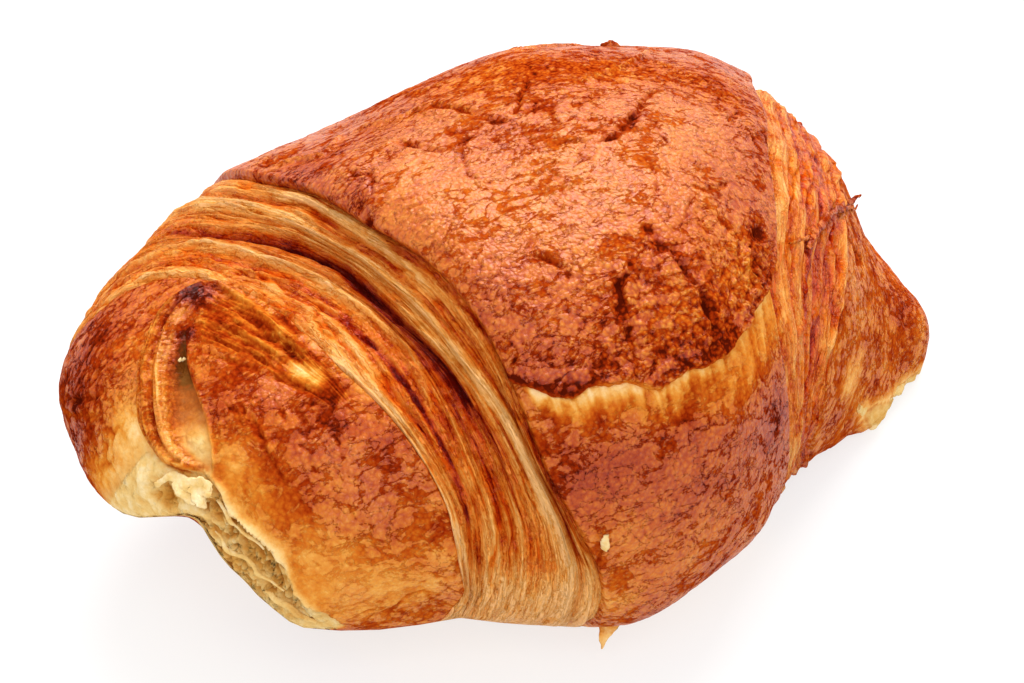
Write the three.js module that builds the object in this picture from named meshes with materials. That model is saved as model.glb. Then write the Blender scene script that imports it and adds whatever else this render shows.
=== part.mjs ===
// A butter croissant: one baked piece with a rolled, torn near end and a small far horn.
// Millimetres, +Z up, +X from the torn end to the far horn, -Y to the front. It rests on Z = 0.
import * as THREE from "three";

const FULL_TURN = 360;
const DEGREE = Math.PI / 180;

// The roll's stations from the torn end to the far horn. x, y, z is the middle of a section, yaw and
// pitch turn it, and front, back, top and under are its half sizes.
const STATIONS = [
  { x: -56.5, y: -3.3, z: 46, yaw: 17, pitch: -67, front: 1, back: 1, top: 1, under: 1 },
  { x: -56.0, y: -5.3, z: 43, yaw: 19, pitch: -62, front: 16, back: 17, top: 12, under: 13 },
  { x: -52.5, y: -7.3, z: 37, yaw: 18, pitch: -46, front: 27, back: 32, top: 21, under: 23 },
  { x: -43.5, y: -7.8, z: 30, yaw: 14, pitch: -22, front: 35, back: 42, top: 28, under: 28 },
  { x: -30.5, y: -6.8, z: 28, yaw: 10, pitch: -5, front: 40, back: 46, top: 32, under: 29 },
  { x: -15.5, y: -4.3, z: 27, yaw: 4, pitch: 0, front: 44, back: 48, top: 35, under: 30 },
  { x: 1.0, y: -1.3, z: 27, yaw: -1, pitch: 2, front: 45, back: 48, top: 37, under: 30 },
  { x: 18.0, y: 1.7, z: 27, yaw: -8, pitch: 2, front: 41, back: 44, top: 34, under: 30 },
  { x: 34.5, y: 5.2, z: 26, yaw: -14, pitch: 4, front: 33, back: 37, top: 29, under: 29 },
  { x: 50.0, y: 7.7, z: 23, yaw: -18, pitch: 12, front: 22, back: 28, top: 22, under: 26 },
  { x: 61.0, y: 10.2, z: 19, yaw: -20, pitch: 24, front: 11, back: 19, top: 14, under: 22 },
  { x: 66.0, y: 8.7, z: 13, yaw: -12, pitch: 38, front: 1, back: 1, top: 1, under: 1 },
];

// A section is a little squarer than an ellipse, which has a power of 2.
const SECTION_POWER = 2.25;

// Where the edges of the wraps lie along the roll, from 0 at the torn end to 1 at the far horn. Each
// has a value at every eighth of a turn: front, front top, top, back top, back, back under, under,
// front under.
const WRAP_EDGES = {
  lobe: [0.245, 0.08, 0.058, 0.072, 0.12, 0.21, 0.29, 0.315],
  groove: [0.31, 0.205, 0.178, 0.178, 0.225, 0.29, 0.335, 0.36],
  shoulder: [0.375, 0.307, 0.266, 0.325, 0.36, 0.39, 0.42, 0.425],
  seam: [0.665, 0.68, 0.75, 0.785, 0.78, 0.74, 0.7, 0.675],
  horn: [0.76, 0.86, 0.9, 0.9, 0.88, 0.82, 0.77, 0.74],
};

// The stretches between those edges: how many rings each has, and how far the crust stands out of
// the roll at its start, its middle and its end.
const STRETCHES = [
  { from: null, to: "lobe", rings: 14, start: 0, middle: 0.6, end: -1.2 },
  { from: "lobe", to: "groove", rings: 8, start: -0.6, middle: 0.8, end: -2.6 },
  { from: "groove", to: "shoulder", rings: 8, start: -2.0, middle: 0.6, end: -0.2 },
  { from: "shoulder", to: "seam", rings: 24, start: 1.0, middle: 1.4, end: 0.8 },
  { from: "seam", to: "horn", rings: 10, start: -1.2, middle: 0.4, end: -0.8 },
  { from: "horn", to: null, rings: 10, start: 0.4, middle: 0.6, end: 0 },
];

// The last wrap stops at a torn edge across the front of the roll, a step of one sheet of dough.
const TORN_EDGE_ANGLE = 31;
const TORN_EDGE_SOFTNESS = 5;
const SHEET_THICKNESS = 1.6;

// Swellings and hollows of the torn end: place along the roll, angle, their reaches and the height.
const RELIEF = [
  { name: "front lobe", at: 0.19, angle: -18, reach: 0.07, spread: 30, height: 1.6 },
  { name: "left lobe", at: 0.11, angle: 212, reach: 0.05, spread: 32, height: 2.4 },
  { name: "pocket", at: 0.085, angle: -68, reach: 0.035, spread: 20, height: -4.2 },
  { name: "cleft", at: 0.13, angle: -56, reach: 0.05, spread: 10, height: -3.0 },
  { name: "torn face", at: 0.2, angle: -82, reach: 0.055, spread: 26, height: -7.5 },
  { name: "horn tear", at: 0.96, angle: -40, reach: 0.035, spread: 30, height: -1.8 },
];

const ANGLE_STEPS = 60;
const CRUST_COLOUR = 0xb5672a;

// A natural cubic spline through evenly spaced values, read at 0 to 1.
function naturalSpline(values) {
  const last = values.length - 1;
  const bend = new Array(last + 1).fill(0);
  const scale = new Array(last + 1).fill(0);
  for (let i = 1; i < last; i++) {
    const pivot = 4 - scale[i - 1];
    const change = 6 * (values[i + 1] - 2 * values[i] + values[i - 1]);
    scale[i] = 1 / pivot;
    bend[i] = (change - bend[i - 1]) / pivot;
  }
  for (let i = last - 1; i > 0; i--) {
    bend[i] -= scale[i] * bend[i + 1];
  }
  return (place) => {
    const i = Math.min(Math.floor(place * last), last - 1);
    const b = place * last - i;
    const a = 1 - b;
    const line = a * values[i] + b * values[i + 1];
    return line + ((a ** 3 - a) * bend[i] + (b ** 3 - b) * bend[i + 1]) / 6;
  };
}

// A closed Catmull-Rom curve through values spread evenly over one turn, read at an angle.
function roundSpline(values) {
  const count = values.length;
  const at = (i) => values[((i % count) + count) % count];
  return (angle) => {
    const place = (angle / FULL_TURN) * count;
    const i = Math.floor(place);
    const t = place - i;
    const slopeA = (at(i + 1) - at(i - 1)) / 2;
    const slopeB = (at(i + 2) - at(i)) / 2;
    const rise = at(i + 1) - at(i);
    const curve = (3 * rise - 2 * slopeA - slopeB) * t ** 2 + (slopeA + slopeB - 2 * rise) * t ** 3;
    return at(i) + slopeA * t + curve;
  };
}

const rollSplines = {};
for (const key of Object.keys(STATIONS[0])) {
  rollSplines[key] = naturalSpline(STATIONS.map((station) => station[key]));
}

const edgeSplines = {};
for (const [name, values] of Object.entries(WRAP_EDGES)) {
  edgeSplines[name] = roundSpline(values);
}

// The plain roll, before the wraps: a point at a place along it and an angle around it, where 0 is
// the front, 90 the top, 180 the back and 270 the underside.
function rollPoint(place, angle) {
  const row = {};
  for (const [key, spline] of Object.entries(rollSplines)) {
    row[key] = spline(place);
  }
  const yaw = row.yaw * DEGREE;
  const pitch = row.pitch * DEGREE;
  const along = new THREE.Vector3(
    Math.cos(yaw) * Math.cos(pitch),
    Math.sin(yaw) * Math.cos(pitch),
    Math.sin(pitch),
  );
  const forward = new THREE.Vector3(Math.sin(yaw), -Math.cos(yaw), 0);
  const upward = forward.clone().cross(along);
  const power = 2 / SECTION_POWER;
  const cosine = Math.cos(angle * DEGREE);
  const sine = Math.sin(angle * DEGREE);
  const across = Math.sign(cosine) * Math.abs(cosine) ** power * (cosine > 0 ? row.front : row.back);
  const height = Math.sign(sine) * Math.abs(sine) ** power * (sine > 0 ? row.top : row.under);
  return new THREE.Vector3(row.x, row.y, row.z)
    .addScaledVector(forward, across)
    .addScaledVector(upward, height);
}

function rollNormal(place, angle) {
  const step = 0.004;
  const turn = 2;
  const a = Math.max(place - step, 0);
  const b = Math.min(place + step, 1);
  const along = rollPoint(b, angle).sub(rollPoint(a, angle));
  const around = rollPoint(place, angle + turn).sub(rollPoint(place, angle - turn));
  return along.cross(around).normalize();
}

function angleBetween(a, b) {
  const turned = (((a - b) % FULL_TURN) + FULL_TURN) % FULL_TURN;
  return turned > FULL_TURN / 2 ? turned - FULL_TURN : turned;
}

function reliefHeight(place, angle) {
  let height = 0;
  for (const bump of RELIEF) {
    const along = (place - bump.at) / bump.reach;
    const around = angleBetween(angle, bump.angle) / bump.spread;
    height += bump.height * Math.exp(-(along ** 2 + around ** 2));
  }
  return height;
}

// The crust's height over a stretch is a parabola through its start, middle and end heights.
function stretchHeight(stretch, t) {
  const { start, middle, end } = stretch;
  return start * (1 - t) * (1 - 2 * t) + middle * 4 * t * (1 - t) + end * t * (2 * t - 1);
}

// The last wrap is one sheet higher than what shows below its torn edge.
function tornStep(stretch, t, angle) {
  if (stretch.from !== "shoulder") {
    return 0;
  }
  const below = angleBetween(TORN_EDGE_ANGLE, angle);
  const fade = 4 * Math.min(t, 1 - t, 0.25);
  const lowered = 1 / (1 + Math.exp(-below / TORN_EDGE_SOFTNESS));
  const front = Math.max(0, Math.cos((below - 60) * 0.75 * DEGREE));
  return -SHEET_THICKNESS * lowered * fade * front;
}

function crustPoint(stretch, t, angle) {
  const start = stretch.from ? edgeSplines[stretch.from](angle) : 0;
  const end = stretch.to ? edgeSplines[stretch.to](angle) : 1;
  const place = THREE.MathUtils.lerp(start, end, t);
  const lift = stretchHeight(stretch, t) + tornStep(stretch, t, angle) + reliefHeight(place, angle);
  const tipFade = Math.min(1, place / 0.04, (1 - place) / 0.04);
  const point = rollPoint(place, angle);
  point.addScaledVector(rollNormal(place, angle), lift * tipFade);
  point.z = Math.max(point.z, 0);
  return point;
}

function makeCrust() {
  const rings = [];
  for (const stretch of STRETCHES) {
    const first = stretch.from === null ? 1 : 0;
    for (let j = first; j < stretch.rings; j++) {
      rings.push({ stretch, t: j / stretch.rings });
    }
  }
  const positions = [];
  const triangles = [];
  for (const { stretch, t } of rings) {
    for (let k = 0; k < ANGLE_STEPS; k++) {
      positions.push(...crustPoint(stretch, t, (k * FULL_TURN) / ANGLE_STEPS));
    }
  }
  const vertex = (ring, k) => ring * ANGLE_STEPS + (k % ANGLE_STEPS);
  for (let ring = 0; ring < rings.length - 1; ring++) {
    for (let k = 0; k < ANGLE_STEPS; k++) {
      const a = vertex(ring, k);
      const b = vertex(ring, k + 1);
      const c = vertex(ring + 1, k + 1);
      const d = vertex(ring + 1, k);
      triangles.push(a, c, b, a, d, c);
    }
  }
  const nearTip = rings.length * ANGLE_STEPS;
  const farTip = nearTip + 1;
  positions.push(...rollPoint(0, 0).lerp(rollPoint(0, FULL_TURN / 2), 0.5));
  positions.push(...rollPoint(1, 0).lerp(rollPoint(1, FULL_TURN / 2), 0.5));
  for (let k = 0; k < ANGLE_STEPS; k++) {
    triangles.push(nearTip, vertex(0, k), vertex(0, k + 1));
    triangles.push(farTip, vertex(rings.length - 1, k + 1), vertex(rings.length - 1, k));
  }
  const geometry = new THREE.BufferGeometry();
  geometry.setAttribute("position", new THREE.Float32BufferAttribute(positions, 3));
  geometry.setIndex(triangles);
  geometry.computeVertexNormals();
  return geometry;
}

const crustMaterial = new THREE.MeshStandardMaterial({
  color: CRUST_COLOUR,
  roughness: 0.45,
  metalness: 0,
});

const croissant = new THREE.Mesh(makeCrust(), crustMaterial);
croissant.name = "croissant";

const model = new THREE.Group();
model.add(croissant);

export default model;
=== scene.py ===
"""A butter croissant with a torn near end, on a pale floor under soft light.

Lengths are millimetres until a mesh is made, which turns them into metres. The frame is the CAD's:
+X from the torn end to the far horn, -Y to the front, +Z up.

Marks such as creases and tints are placed by the photo's pixels, across and down, and lie on the roll
where those pixels show. Browning (bake) runs from 0, pale dough, to 1, nearly charred; in a few marks it
also holds painted shade and painted sheen. A call of noise, fractal, creases or cells ends with its seed,
so each run gives the same croissant.
"""
import math

import bpy
import numpy as np
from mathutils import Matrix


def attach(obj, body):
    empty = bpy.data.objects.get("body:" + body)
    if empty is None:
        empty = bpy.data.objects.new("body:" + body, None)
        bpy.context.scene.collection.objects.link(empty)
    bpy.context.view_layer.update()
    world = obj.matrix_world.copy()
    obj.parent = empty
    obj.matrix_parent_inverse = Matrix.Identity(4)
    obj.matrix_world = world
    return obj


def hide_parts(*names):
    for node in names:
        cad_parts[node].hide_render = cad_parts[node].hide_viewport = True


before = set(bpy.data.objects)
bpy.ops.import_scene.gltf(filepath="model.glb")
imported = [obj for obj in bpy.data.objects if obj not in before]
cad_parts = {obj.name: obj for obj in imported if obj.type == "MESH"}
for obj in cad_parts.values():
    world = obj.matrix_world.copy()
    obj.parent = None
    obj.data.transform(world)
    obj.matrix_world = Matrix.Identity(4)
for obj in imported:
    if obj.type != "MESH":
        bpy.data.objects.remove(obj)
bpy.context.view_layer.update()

MM = 0.001
TAU = 2 * math.pi

# ---------------------------------------------------------------- the plain roll

# x, y, z of a section's middle, its yaw and pitch in degrees, its half sizes front, back, top, under
STATIONS = np.array([
    [-56.5, -3.3, 46, 17, -67, 1, 1, 1, 1],
    [-56.0, -5.3, 43, 19, -62, 16, 17, 12, 13],
    [-52.5, -7.3, 37, 18, -46, 27, 32, 21, 23],
    [-43.5, -7.8, 30, 14, -22, 35, 42, 28, 28],
    [-30.5, -6.8, 28, 10, -5, 40, 46, 32, 29],
    [-15.5, -4.3, 27, 4, 0, 44, 48, 35, 30],
    [1.0, -1.3, 27, -1, 2, 45, 48, 37, 30],
    [18.0, 1.7, 27, -8, 2, 41, 44, 34, 30],
    [34.5, 5.2, 26, -14, 4, 33, 37, 29, 29],
    [50.0, 7.7, 23, -18, 12, 22, 28, 22, 26],
    [61.0, 10.2, 19, -20, 24, 11, 19, 14, 22],
    [66.0, 8.7, 13, -12, 38, 1, 1, 1, 1],
], float)
SECTION_POWER = 2.25

# The wraps' edges along the roll, as knots of (angle, place). Angle 0 is the front, 90 the top, 180
# the back and 270 the underside. Place runs from 0 at the torn end to 1 at the far horn.
EDGES = {
    "lobe": [(0, .255), (8, .22), (16, .17), (24, .118), (42, .085), (68, .065), (113, .055),
             (145, .072), (172, .098), (190, .14), (225, .21), (270, .29), (315, .31), (340, .295)],
    "bark": [(0, .29), (20, .235), (40, .19), (64, .157), (90, .128), (126, .13), (148, .143),
             (180, .175), (225, .25), (270, .312), (315, .335)],
    "groove": [(0, .325), (15, .29), (22, .275), (29, .252), (38, .232), (52, .19), (67, .173),
               (86, .178), (106, .165), (130, .17), (160, .2), (180, .225), (225, .29), (270, .335),
               (315, .36)],
    "ridge": [(0, .358), (5, .348), (20, .315), (29, .3), (46, .25), (72, .21), (93, .208),
              (124, .228), (160, .27), (180, .3), (225, .345), (270, .38), (315, .395), (354, .368)],
    "shoulder": [(2, .368), (15, .335), (32, .315), (38, .31), (53, .305), (72, .292), (89, .266),
                 (114, .29), (140, .32), (180, .36), (225, .39), (270, .42), (315, .425),
                 (340, .413), (354, .395)],
    "seam": [(0, .668), (20, .66), (33, .66), (40, .67), (48, .69), (63, .705), (81, .74),
             (108, .768), (135, .785), (180, .78), (225, .74), (270, .7), (315, .675)],
    "horn": [(0, .755), (10, .788), (22, .812), (36, .835), (54, .878), (90, .9), (135, .9),
             (180, .88), (225, .82), (270, .77), (315, .74), (348, .738)],
}
# The torn front edge of the last wrap, as knots of (place, angle).
TORN_EDGE = [(.3, 37), (.315, 36), (.332, 35), (.36, 32), (.385, 30), (.408, 32), (.45, 31),
             (.478, 27), (.51, 28), (.535, 27), (.56, 27), (.595, 29), (.615, 32), (.642, 34),
             (.67, 40), (.7, 44), (.8, 50)]

# The photo's camera: degrees left of the front and above, and millimetres.
CAMERA_TURN = -26.6
CAMERA_RISE = 31.4
CAMERA_DISTANCE = 358.6
CAMERA_TARGET = np.array([-4.1, 8.5, 22.1])
LENS = 85.0
SENSOR = 36.0
PHOTO_WIDTH = 1024
PHOTO_HEIGHT = 683


def natural_bends(values):
    """Second differences of a natural cubic spline through evenly spaced rows."""
    count = len(values)
    matrix = np.eye(count)
    right = np.zeros_like(values)
    for i in range(1, count - 1):
        matrix[i, i - 1:i + 2] = 1, 4, 1
        right[i] = 6 * (values[i + 1] - 2 * values[i] + values[i - 1])
    return np.linalg.solve(matrix, right)


STATION_BENDS = natural_bends(STATIONS)


def station(place):
    """The section at places from 0 to 1 along the roll, with the same nine values as a row of STATIONS."""
    last = len(STATIONS) - 1
    scaled = np.clip(place, 0, 1) * last
    i = np.minimum(scaled.astype(int), last - 1)
    b = (scaled - i)[..., None]
    a = 1 - b
    line = a * STATIONS[i] + b * STATIONS[i + 1]
    bend = (a ** 3 - a) * STATION_BENDS[i] + (b ** 3 - b) * STATION_BENDS[i + 1]
    return line + bend / 6


def signed_power(value, power):
    """A power that keeps the value's sign."""
    return np.sign(value) * np.abs(value) ** power


def roll_point(place, angle):
    """Points of the plain roll at places along it and angles in degrees round it."""
    x, y, z, yaw, pitch, front, back, top, under = np.moveaxis(station(place), -1, 0)
    yaw, pitch, turn = np.radians(yaw), np.radians(pitch), np.radians(angle)
    zero = np.zeros_like(yaw)
    along = np.stack([np.cos(yaw) * np.cos(pitch), np.sin(yaw) * np.cos(pitch), np.sin(pitch)], -1)
    forward = np.stack([np.sin(yaw), -np.cos(yaw), zero], -1)
    upward = np.cross(forward, along)
    across = signed_power(np.cos(turn), 2 / SECTION_POWER)
    height = signed_power(np.sin(turn), 2 / SECTION_POWER)
    across = across * np.where(across > 0, front, back)
    height = height * np.where(height > 0, top, under)
    middle = np.stack([x, y, z], -1)
    return middle + forward * across[..., None] + upward * height[..., None]


def unit(vectors):
    """The vectors, each made one long."""
    return vectors / (np.linalg.norm(vectors, axis=-1, keepdims=True) + 1e-9)


def roll_frame(place, angle):
    """Points, outward normals, and the millimetres that one unit of place is there."""
    step, turn = 0.003, 1.5
    low = np.clip(place - step, 0, 1)
    high = np.clip(place + step, 0, 1)
    along = roll_point(high, angle) - roll_point(low, angle)
    around = roll_point(place, angle + turn) - roll_point(place, angle - turn)
    speed = np.linalg.norm(along, axis=-1) / (high - low)
    return roll_point(place, angle), unit(np.cross(along, around)), speed


EDGE_SOFTNESS = 5.0  # degrees


def round_curve(knots):
    """A closed curve over one turn, straight between its knots and then softened."""
    angles = np.arange(0, 360, 0.5)
    knots = sorted(knots)
    values = np.interp(angles, [k[0] for k in knots], [k[1] for k in knots], period=360)
    reach = np.minimum(angles, 360 - angles)
    kernel = np.exp(-(reach / EDGE_SOFTNESS) ** 2)
    kernel /= kernel.sum()
    smooth = np.real(np.fft.ifft(np.fft.fft(values) * np.fft.fft(kernel)))
    return lambda angle: np.interp(np.mod(angle, 360), angles, smooth, period=360)


EDGE = {name: round_curve(knots) for name, knots in EDGES.items()}

# ---------------------------------------------------------------- noise

GRADIENTS = unit(np.array([
    [1, 1, 0], [-1, 1, 0], [1, -1, 0], [-1, -1, 0], [1, 0, 1], [-1, 0, 1], [1, 0, -1], [-1, 0, -1],
    [0, 1, 1], [0, -1, 1], [0, 1, -1], [0, -1, -1], [1, 1, 1], [-1, 1, -1], [1, -1, -1], [-1, -1, 1],
], float))


def scramble(cell, seed):
    """A repeatable whole number for each lattice cell."""
    x, y, z = (cell[..., i].astype(np.int64).astype(np.uint32) for i in range(3))
    mixed = x * np.uint32(73856093) ^ y * np.uint32(19349663) ^ z * np.uint32(83492791)
    mixed ^= np.uint32((seed * 2654435761) % 2 ** 32)
    mixed ^= mixed >> np.uint32(15)
    mixed *= np.uint32(2246822519)
    mixed ^= mixed >> np.uint32(13)
    mixed *= np.uint32(3266489917)
    return mixed ^ (mixed >> np.uint32(16))


def noise(points, seed):
    """Gradient noise, about -1 to 1, one wave to a unit."""
    cell = np.floor(points)
    inside = points - cell
    ease = inside ** 3 * (inside * (inside * 6 - 15) + 10)
    total = np.zeros(points.shape[:-1])
    for corner in np.ndindex(2, 2, 2):
        corner = np.array(corner)
        gradient = GRADIENTS[scramble(cell + corner, seed) & np.uint32(15)]
        weight = np.prod(np.where(corner, ease, 1 - ease), -1)
        total += weight * np.sum(gradient * (inside - corner), -1)
    return total * 1.6


def fractal(points, octaves, seed):
    """Noise with finer and weaker noise on top of it, about -1 to 1."""
    total, size = 0, 1.0
    for octave in range(octaves):
        total = total + size * noise(points * 2.03 ** octave, seed + octave)
        size *= 0.5
    return total / (2 - 2 * size)


def cells(points, seed):
    """Distances to the nearest and the second nearest scattered point, one point to a unit cube."""
    base = np.floor(points)
    first = np.full(points.shape[:-1], 9.0)
    second = first.copy()
    for offset in np.ndindex(3, 3, 3):
        cell = base + np.array(offset) - 1
        mixed = scramble(cell, seed)
        spot = np.stack([(mixed >> np.uint32(s)) & np.uint32(1023) for s in (0, 10, 20)], -1) / 1023
        gap = np.linalg.norm(cell + spot - points, axis=-1)
        second = np.minimum(second, np.maximum(first, gap))
        first = np.minimum(first, gap)
    return first, second


def smooth_step(low, high, value):
    """0 up to low and 1 from high on, with a soft change between them; low may be the larger."""
    t = np.clip((value - low) / (high - low), 0, 1)
    return t * t * (3 - 2 * t)


def bell(value, width):
    """1 where the value is 0, falling softly on both sides of it."""
    return np.exp(-(value / width) ** 2)


def toward(old, new, share):
    """A value moved towards a new one by a share of 0 to 1."""
    return old + (new - old) * share


def plane(*parts):
    """Noise coordinates from one or two arrays, with zeros for the rest."""
    return np.stack(list(parts) + [parts[0] * 0] * (3 - len(parts)), -1)


def noise_vectors(points, seed):
    """Three unlike noises at each point, as one vector."""
    return np.stack([noise(points, seed + k) for k in range(3)], -1)


def fractal_vectors(points, apart, seed):
    """Three unlike fractal noises at each point, as one vector."""
    return np.stack([fractal(points + apart * k, 3, seed + k) for k in range(3)], -1)


def creases(points, sharpness, seed):
    """Thin branching lines, 1 on a line and 0 off it."""
    warp = 0.35 * noise_vectors(points * 1.7, seed)
    return bell(noise(points + warp, seed + 5), sharpness)


# ---------------------------------------------------------------- the photo's camera

def camera_axes():
    """The camera's right, up and back, in the CAD's frame."""
    turn, rise = math.radians(CAMERA_TURN), math.radians(CAMERA_RISE)
    back = np.array([math.sin(turn) * math.cos(rise), -math.cos(turn) * math.cos(rise), math.sin(rise)])
    right = np.array([math.cos(turn), math.sin(turn), 0.0])
    return right, np.cross(back, right), back


RIGHT, UP, BACK = camera_axes()
CAMERA_PLACE = CAMERA_TARGET + BACK * CAMERA_DISTANCE


def to_photo(points):
    """The photo's pixel for each point in millimetres."""
    offset = points - CAMERA_PLACE
    depth = -offset @ BACK
    scale = LENS / SENSOR * PHOTO_WIDTH / depth
    return np.stack([PHOTO_WIDTH / 2 + offset @ RIGHT * scale,
                     PHOTO_HEIGHT / 2 - offset @ UP * scale], -1)


def seen_grid():
    """Points of the plain roll that the camera sees, and the pixels where they show."""
    places, angles = np.meshgrid(np.linspace(0.002, 0.998, 360), np.arange(0, 360, 0.6), indexing="ij")
    points, normals, _ = roll_frame(places, angles)
    seen = np.sum((CAMERA_PLACE - points) * normals, -1) > 0
    return points[seen], to_photo(points[seen])


SEEN_POINTS, SEEN_PIXELS = seen_grid()


def on_roll(pixels):
    """The point of the plain roll that shows at each of the photo's pixels."""
    pixels = np.asarray(pixels, float)
    nearest = [np.argmin(np.sum((SEEN_PIXELS - p) ** 2, -1)) for p in pixels]
    return SEEN_POINTS[nearest]


def bend_through(knots, steps=8):
    """Points of a Catmull-Rom curve through a few knots."""
    knots = np.asarray(knots, float)
    padded = np.vstack([2 * knots[0] - knots[1], knots, 2 * knots[-1] - knots[-2]])
    t = np.linspace(0, 1, steps, endpoint=False)[:, None]
    parts = []
    for a, b, c, d in zip(padded[:-3], padded[1:-2], padded[2:-1], padded[3:]):
        curve = 2 * b + (c - a) * t + (2 * a - 5 * b + 4 * c - d) * t ** 2
        parts.append(0.5 * (curve + (3 * b - a - 3 * c + d) * t ** 3))
    return np.vstack(parts + [knots[-1:]])


def unproject(pixel):
    """The point in space that shows at a photo pixel, as deep as the roll is nearest to it."""
    nearest = np.argmin(np.sum((SEEN_PIXELS - pixel) ** 2, -1))
    depth = -(SEEN_POINTS[nearest] - CAMERA_PLACE) @ BACK
    scale = depth * SENSOR / LENS / PHOTO_WIDTH
    across, down = (pixel[0] - PHOTO_WIDTH / 2) * scale, (pixel[1] - PHOTO_HEIGHT / 2) * scale
    return CAMERA_PLACE - BACK * depth + RIGHT * across - UP * down


def distance_to_curve(points, curve, reach):
    """Distance from each point to a run of points, and how far along the run, from 0 to 1."""
    best = np.full(points.shape[:-1], 1e3)
    along = np.zeros(points.shape[:-1])
    close = np.all((points > curve.min(0) - reach) & (points < curve.max(0) + reach), -1)
    near, least, share = points[close], best[close], along[close]
    for i, (a, b) in enumerate(zip(curve[:-1], curve[1:])):
        run = b - a
        t = np.clip((near - a) @ run / (run @ run + 1e-9), 0, 1)
        gap = np.linalg.norm(near - a - t[..., None] * run, axis=-1)
        nearer = gap < least
        least = np.where(nearer, gap, least)
        share = np.where(nearer, (i + t) / (len(curve) - 1), share)
    best[close], along[close] = least, share
    return best, along


def stroke(points, pixels, width, taper):
    """A soft painted line through the photo's pixels, 1 in its middle, fading out at its two ends."""
    gap, along = distance_to_curve(points, bend_through(on_roll(pixels)), 3 * width)
    return bell(gap, width) * smooth_step(0, taper, along) * smooth_step(0, taper, 1 - along)


def spot(points, pixel, radius):
    """A soft round spot at a photo pixel, 1 in its middle."""
    return bell(np.linalg.norm(points - on_roll([pixel])[0], axis=-1), radius)


def spots(points, marks):
    """The sum of some spots: each has a photo pixel, a radius in millimetres and an amount."""
    return sum(amount * spot(points, pixel, radius) for pixel, radius, amount in marks)


def outline_depth(points, normals, pixels):
    """How far inside an outline of photo pixels each point shows, in pixels, below 0 outside it."""
    shown = to_photo(points)
    seen = np.sum((CAMERA_PLACE - points) * normals, -1) > 0
    gap = np.full(shown.shape[:-1], 1e9)
    inside = np.zeros(shown.shape[:-1], bool)
    outline = np.asarray(pixels, float)
    for a, b in zip(outline, np.roll(outline, -1, 0)):
        run = b - a
        t = np.clip((shown - a) @ run / (run @ run), 0, 1)
        gap = np.minimum(gap, np.linalg.norm(shown - a - t[..., None] * run, axis=-1))
        between = (a[1] > shown[..., 1]) != (b[1] > shown[..., 1])
        rise = np.where(between, b[1] - a[1], 1)
        inside ^= between & (shown[..., 0] < a[0] + run[0] * (shown[..., 1] - a[1]) / rise)
    return np.where(inside & seen, gap, -gap)


# ---------------------------------------------------------------- meshes

def make_mesh(name, points, faces, attributes, material):
    """A smooth mesh object from points in millimetres and a list of arrays of corner numbers."""
    mesh = bpy.data.meshes.new(name)
    mesh.vertices.add(len(points))
    mesh.vertices.foreach_set("co", (points * MM).astype(np.float32).ravel())
    loops = np.concatenate([f.ravel() for f in faces]).astype(np.int32)
    sizes = np.concatenate([np.full(len(f), f.shape[1]) for f in faces])
    starts = np.concatenate([[0], np.cumsum(sizes)[:-1]]).astype(np.int32)
    mesh.loops.add(len(loops))
    mesh.loops.foreach_set("vertex_index", loops)
    mesh.polygons.add(len(sizes))
    mesh.polygons.foreach_set("loop_start", starts)
    mesh.polygons.foreach_set("use_smooth", np.ones(len(sizes), bool))
    for key, values in attributes.items():
        vector = values.ndim == 2
        layer = mesh.attributes.new(key, "FLOAT_VECTOR" if vector else "FLOAT", "POINT")
        layer.data.foreach_set("vector" if vector else "value", values.astype(np.float32).ravel())
    mesh.update(calc_edges=True)
    mesh.validate()
    mesh.materials.append(material)
    piece = bpy.data.objects.new(name, mesh)
    bpy.context.scene.collection.objects.link(piece)
    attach(piece, "root")
    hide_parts("croissant")


def grid_faces(rows, columns, closed):
    """Quads over a grid of points, facing out of the roll."""
    across = columns if closed else columns - 1
    r, c = np.meshgrid(np.arange(rows - 1), np.arange(across), indexing="ij")
    r, c = r.ravel(), c.ravel()
    d = (c + 1) % columns
    return np.stack([r * columns + c, (r + 1) * columns + c, (r + 1) * columns + d, r * columns + d], -1)


def fan(ring, middle, flip):
    """Triangles from a ring of corner numbers to one middle corner."""
    following = np.roll(ring, -1)
    centre = np.full(len(ring), middle)
    order = [centre, following, ring] if flip else [centre, ring, following]
    return np.stack(order, -1)


def spaced(stops, counts):
    """Numbers that run through the stops, with so many steps between each two."""
    parts = [np.linspace(a, b, n, endpoint=False) for a, b, n in zip(stops[:-1], stops[1:], counts)]
    return np.concatenate(parts + [[stops[-1]]])


# The lower outline of the pastry, as the photo's pixels across and down: below it the floor shows.
LOWER_OUTLINE = np.array([
    (84, 560), (90, 486), (100, 496), (112, 507), (124, 514), (140, 518), (160, 517), (185, 516),
    (198, 519), (206, 527), (214, 542), (223, 557), (233, 569), (246, 581), (259, 596), (275, 610),
    (290, 622), (304, 628), (340, 631), (380, 630), (420, 625), (460, 618), (500, 623), (540, 626),
    (600, 630), (622, 628), (650, 680),
], float)
OUTLINE_SOFTNESS = 2.0


def under_outline(points):
    """How far below the lower outline each point shows, in pixels."""
    across, down = np.moveaxis(to_photo(points), -1, 0)
    return down - np.interp(across, LOWER_OUTLINE[:, 0], LOWER_OUTLINE[:, 1])


def outline_lift(points):
    """How far a point rises to clear the view under the outline.

    It is worked out for each column of the photo, so the cut runs back along the line of sight.
    """
    across = to_photo(points)[..., 0]
    sunk = np.clip(under_outline(points) / OUTLINE_SOFTNESS, -30, 60)
    one_pixel = CAMERA_DISTANCE * SENSOR / LENS / PHOTO_WIDTH / math.cos(math.radians(CAMERA_RISE))
    inside = (across > LOWER_OUTLINE[0, 0]) & (across < LOWER_OUTLINE[-1, 0])
    return np.where(inside, OUTLINE_SOFTNESS * np.logaddexp(0, sunk) * one_pixel, 0)


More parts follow.
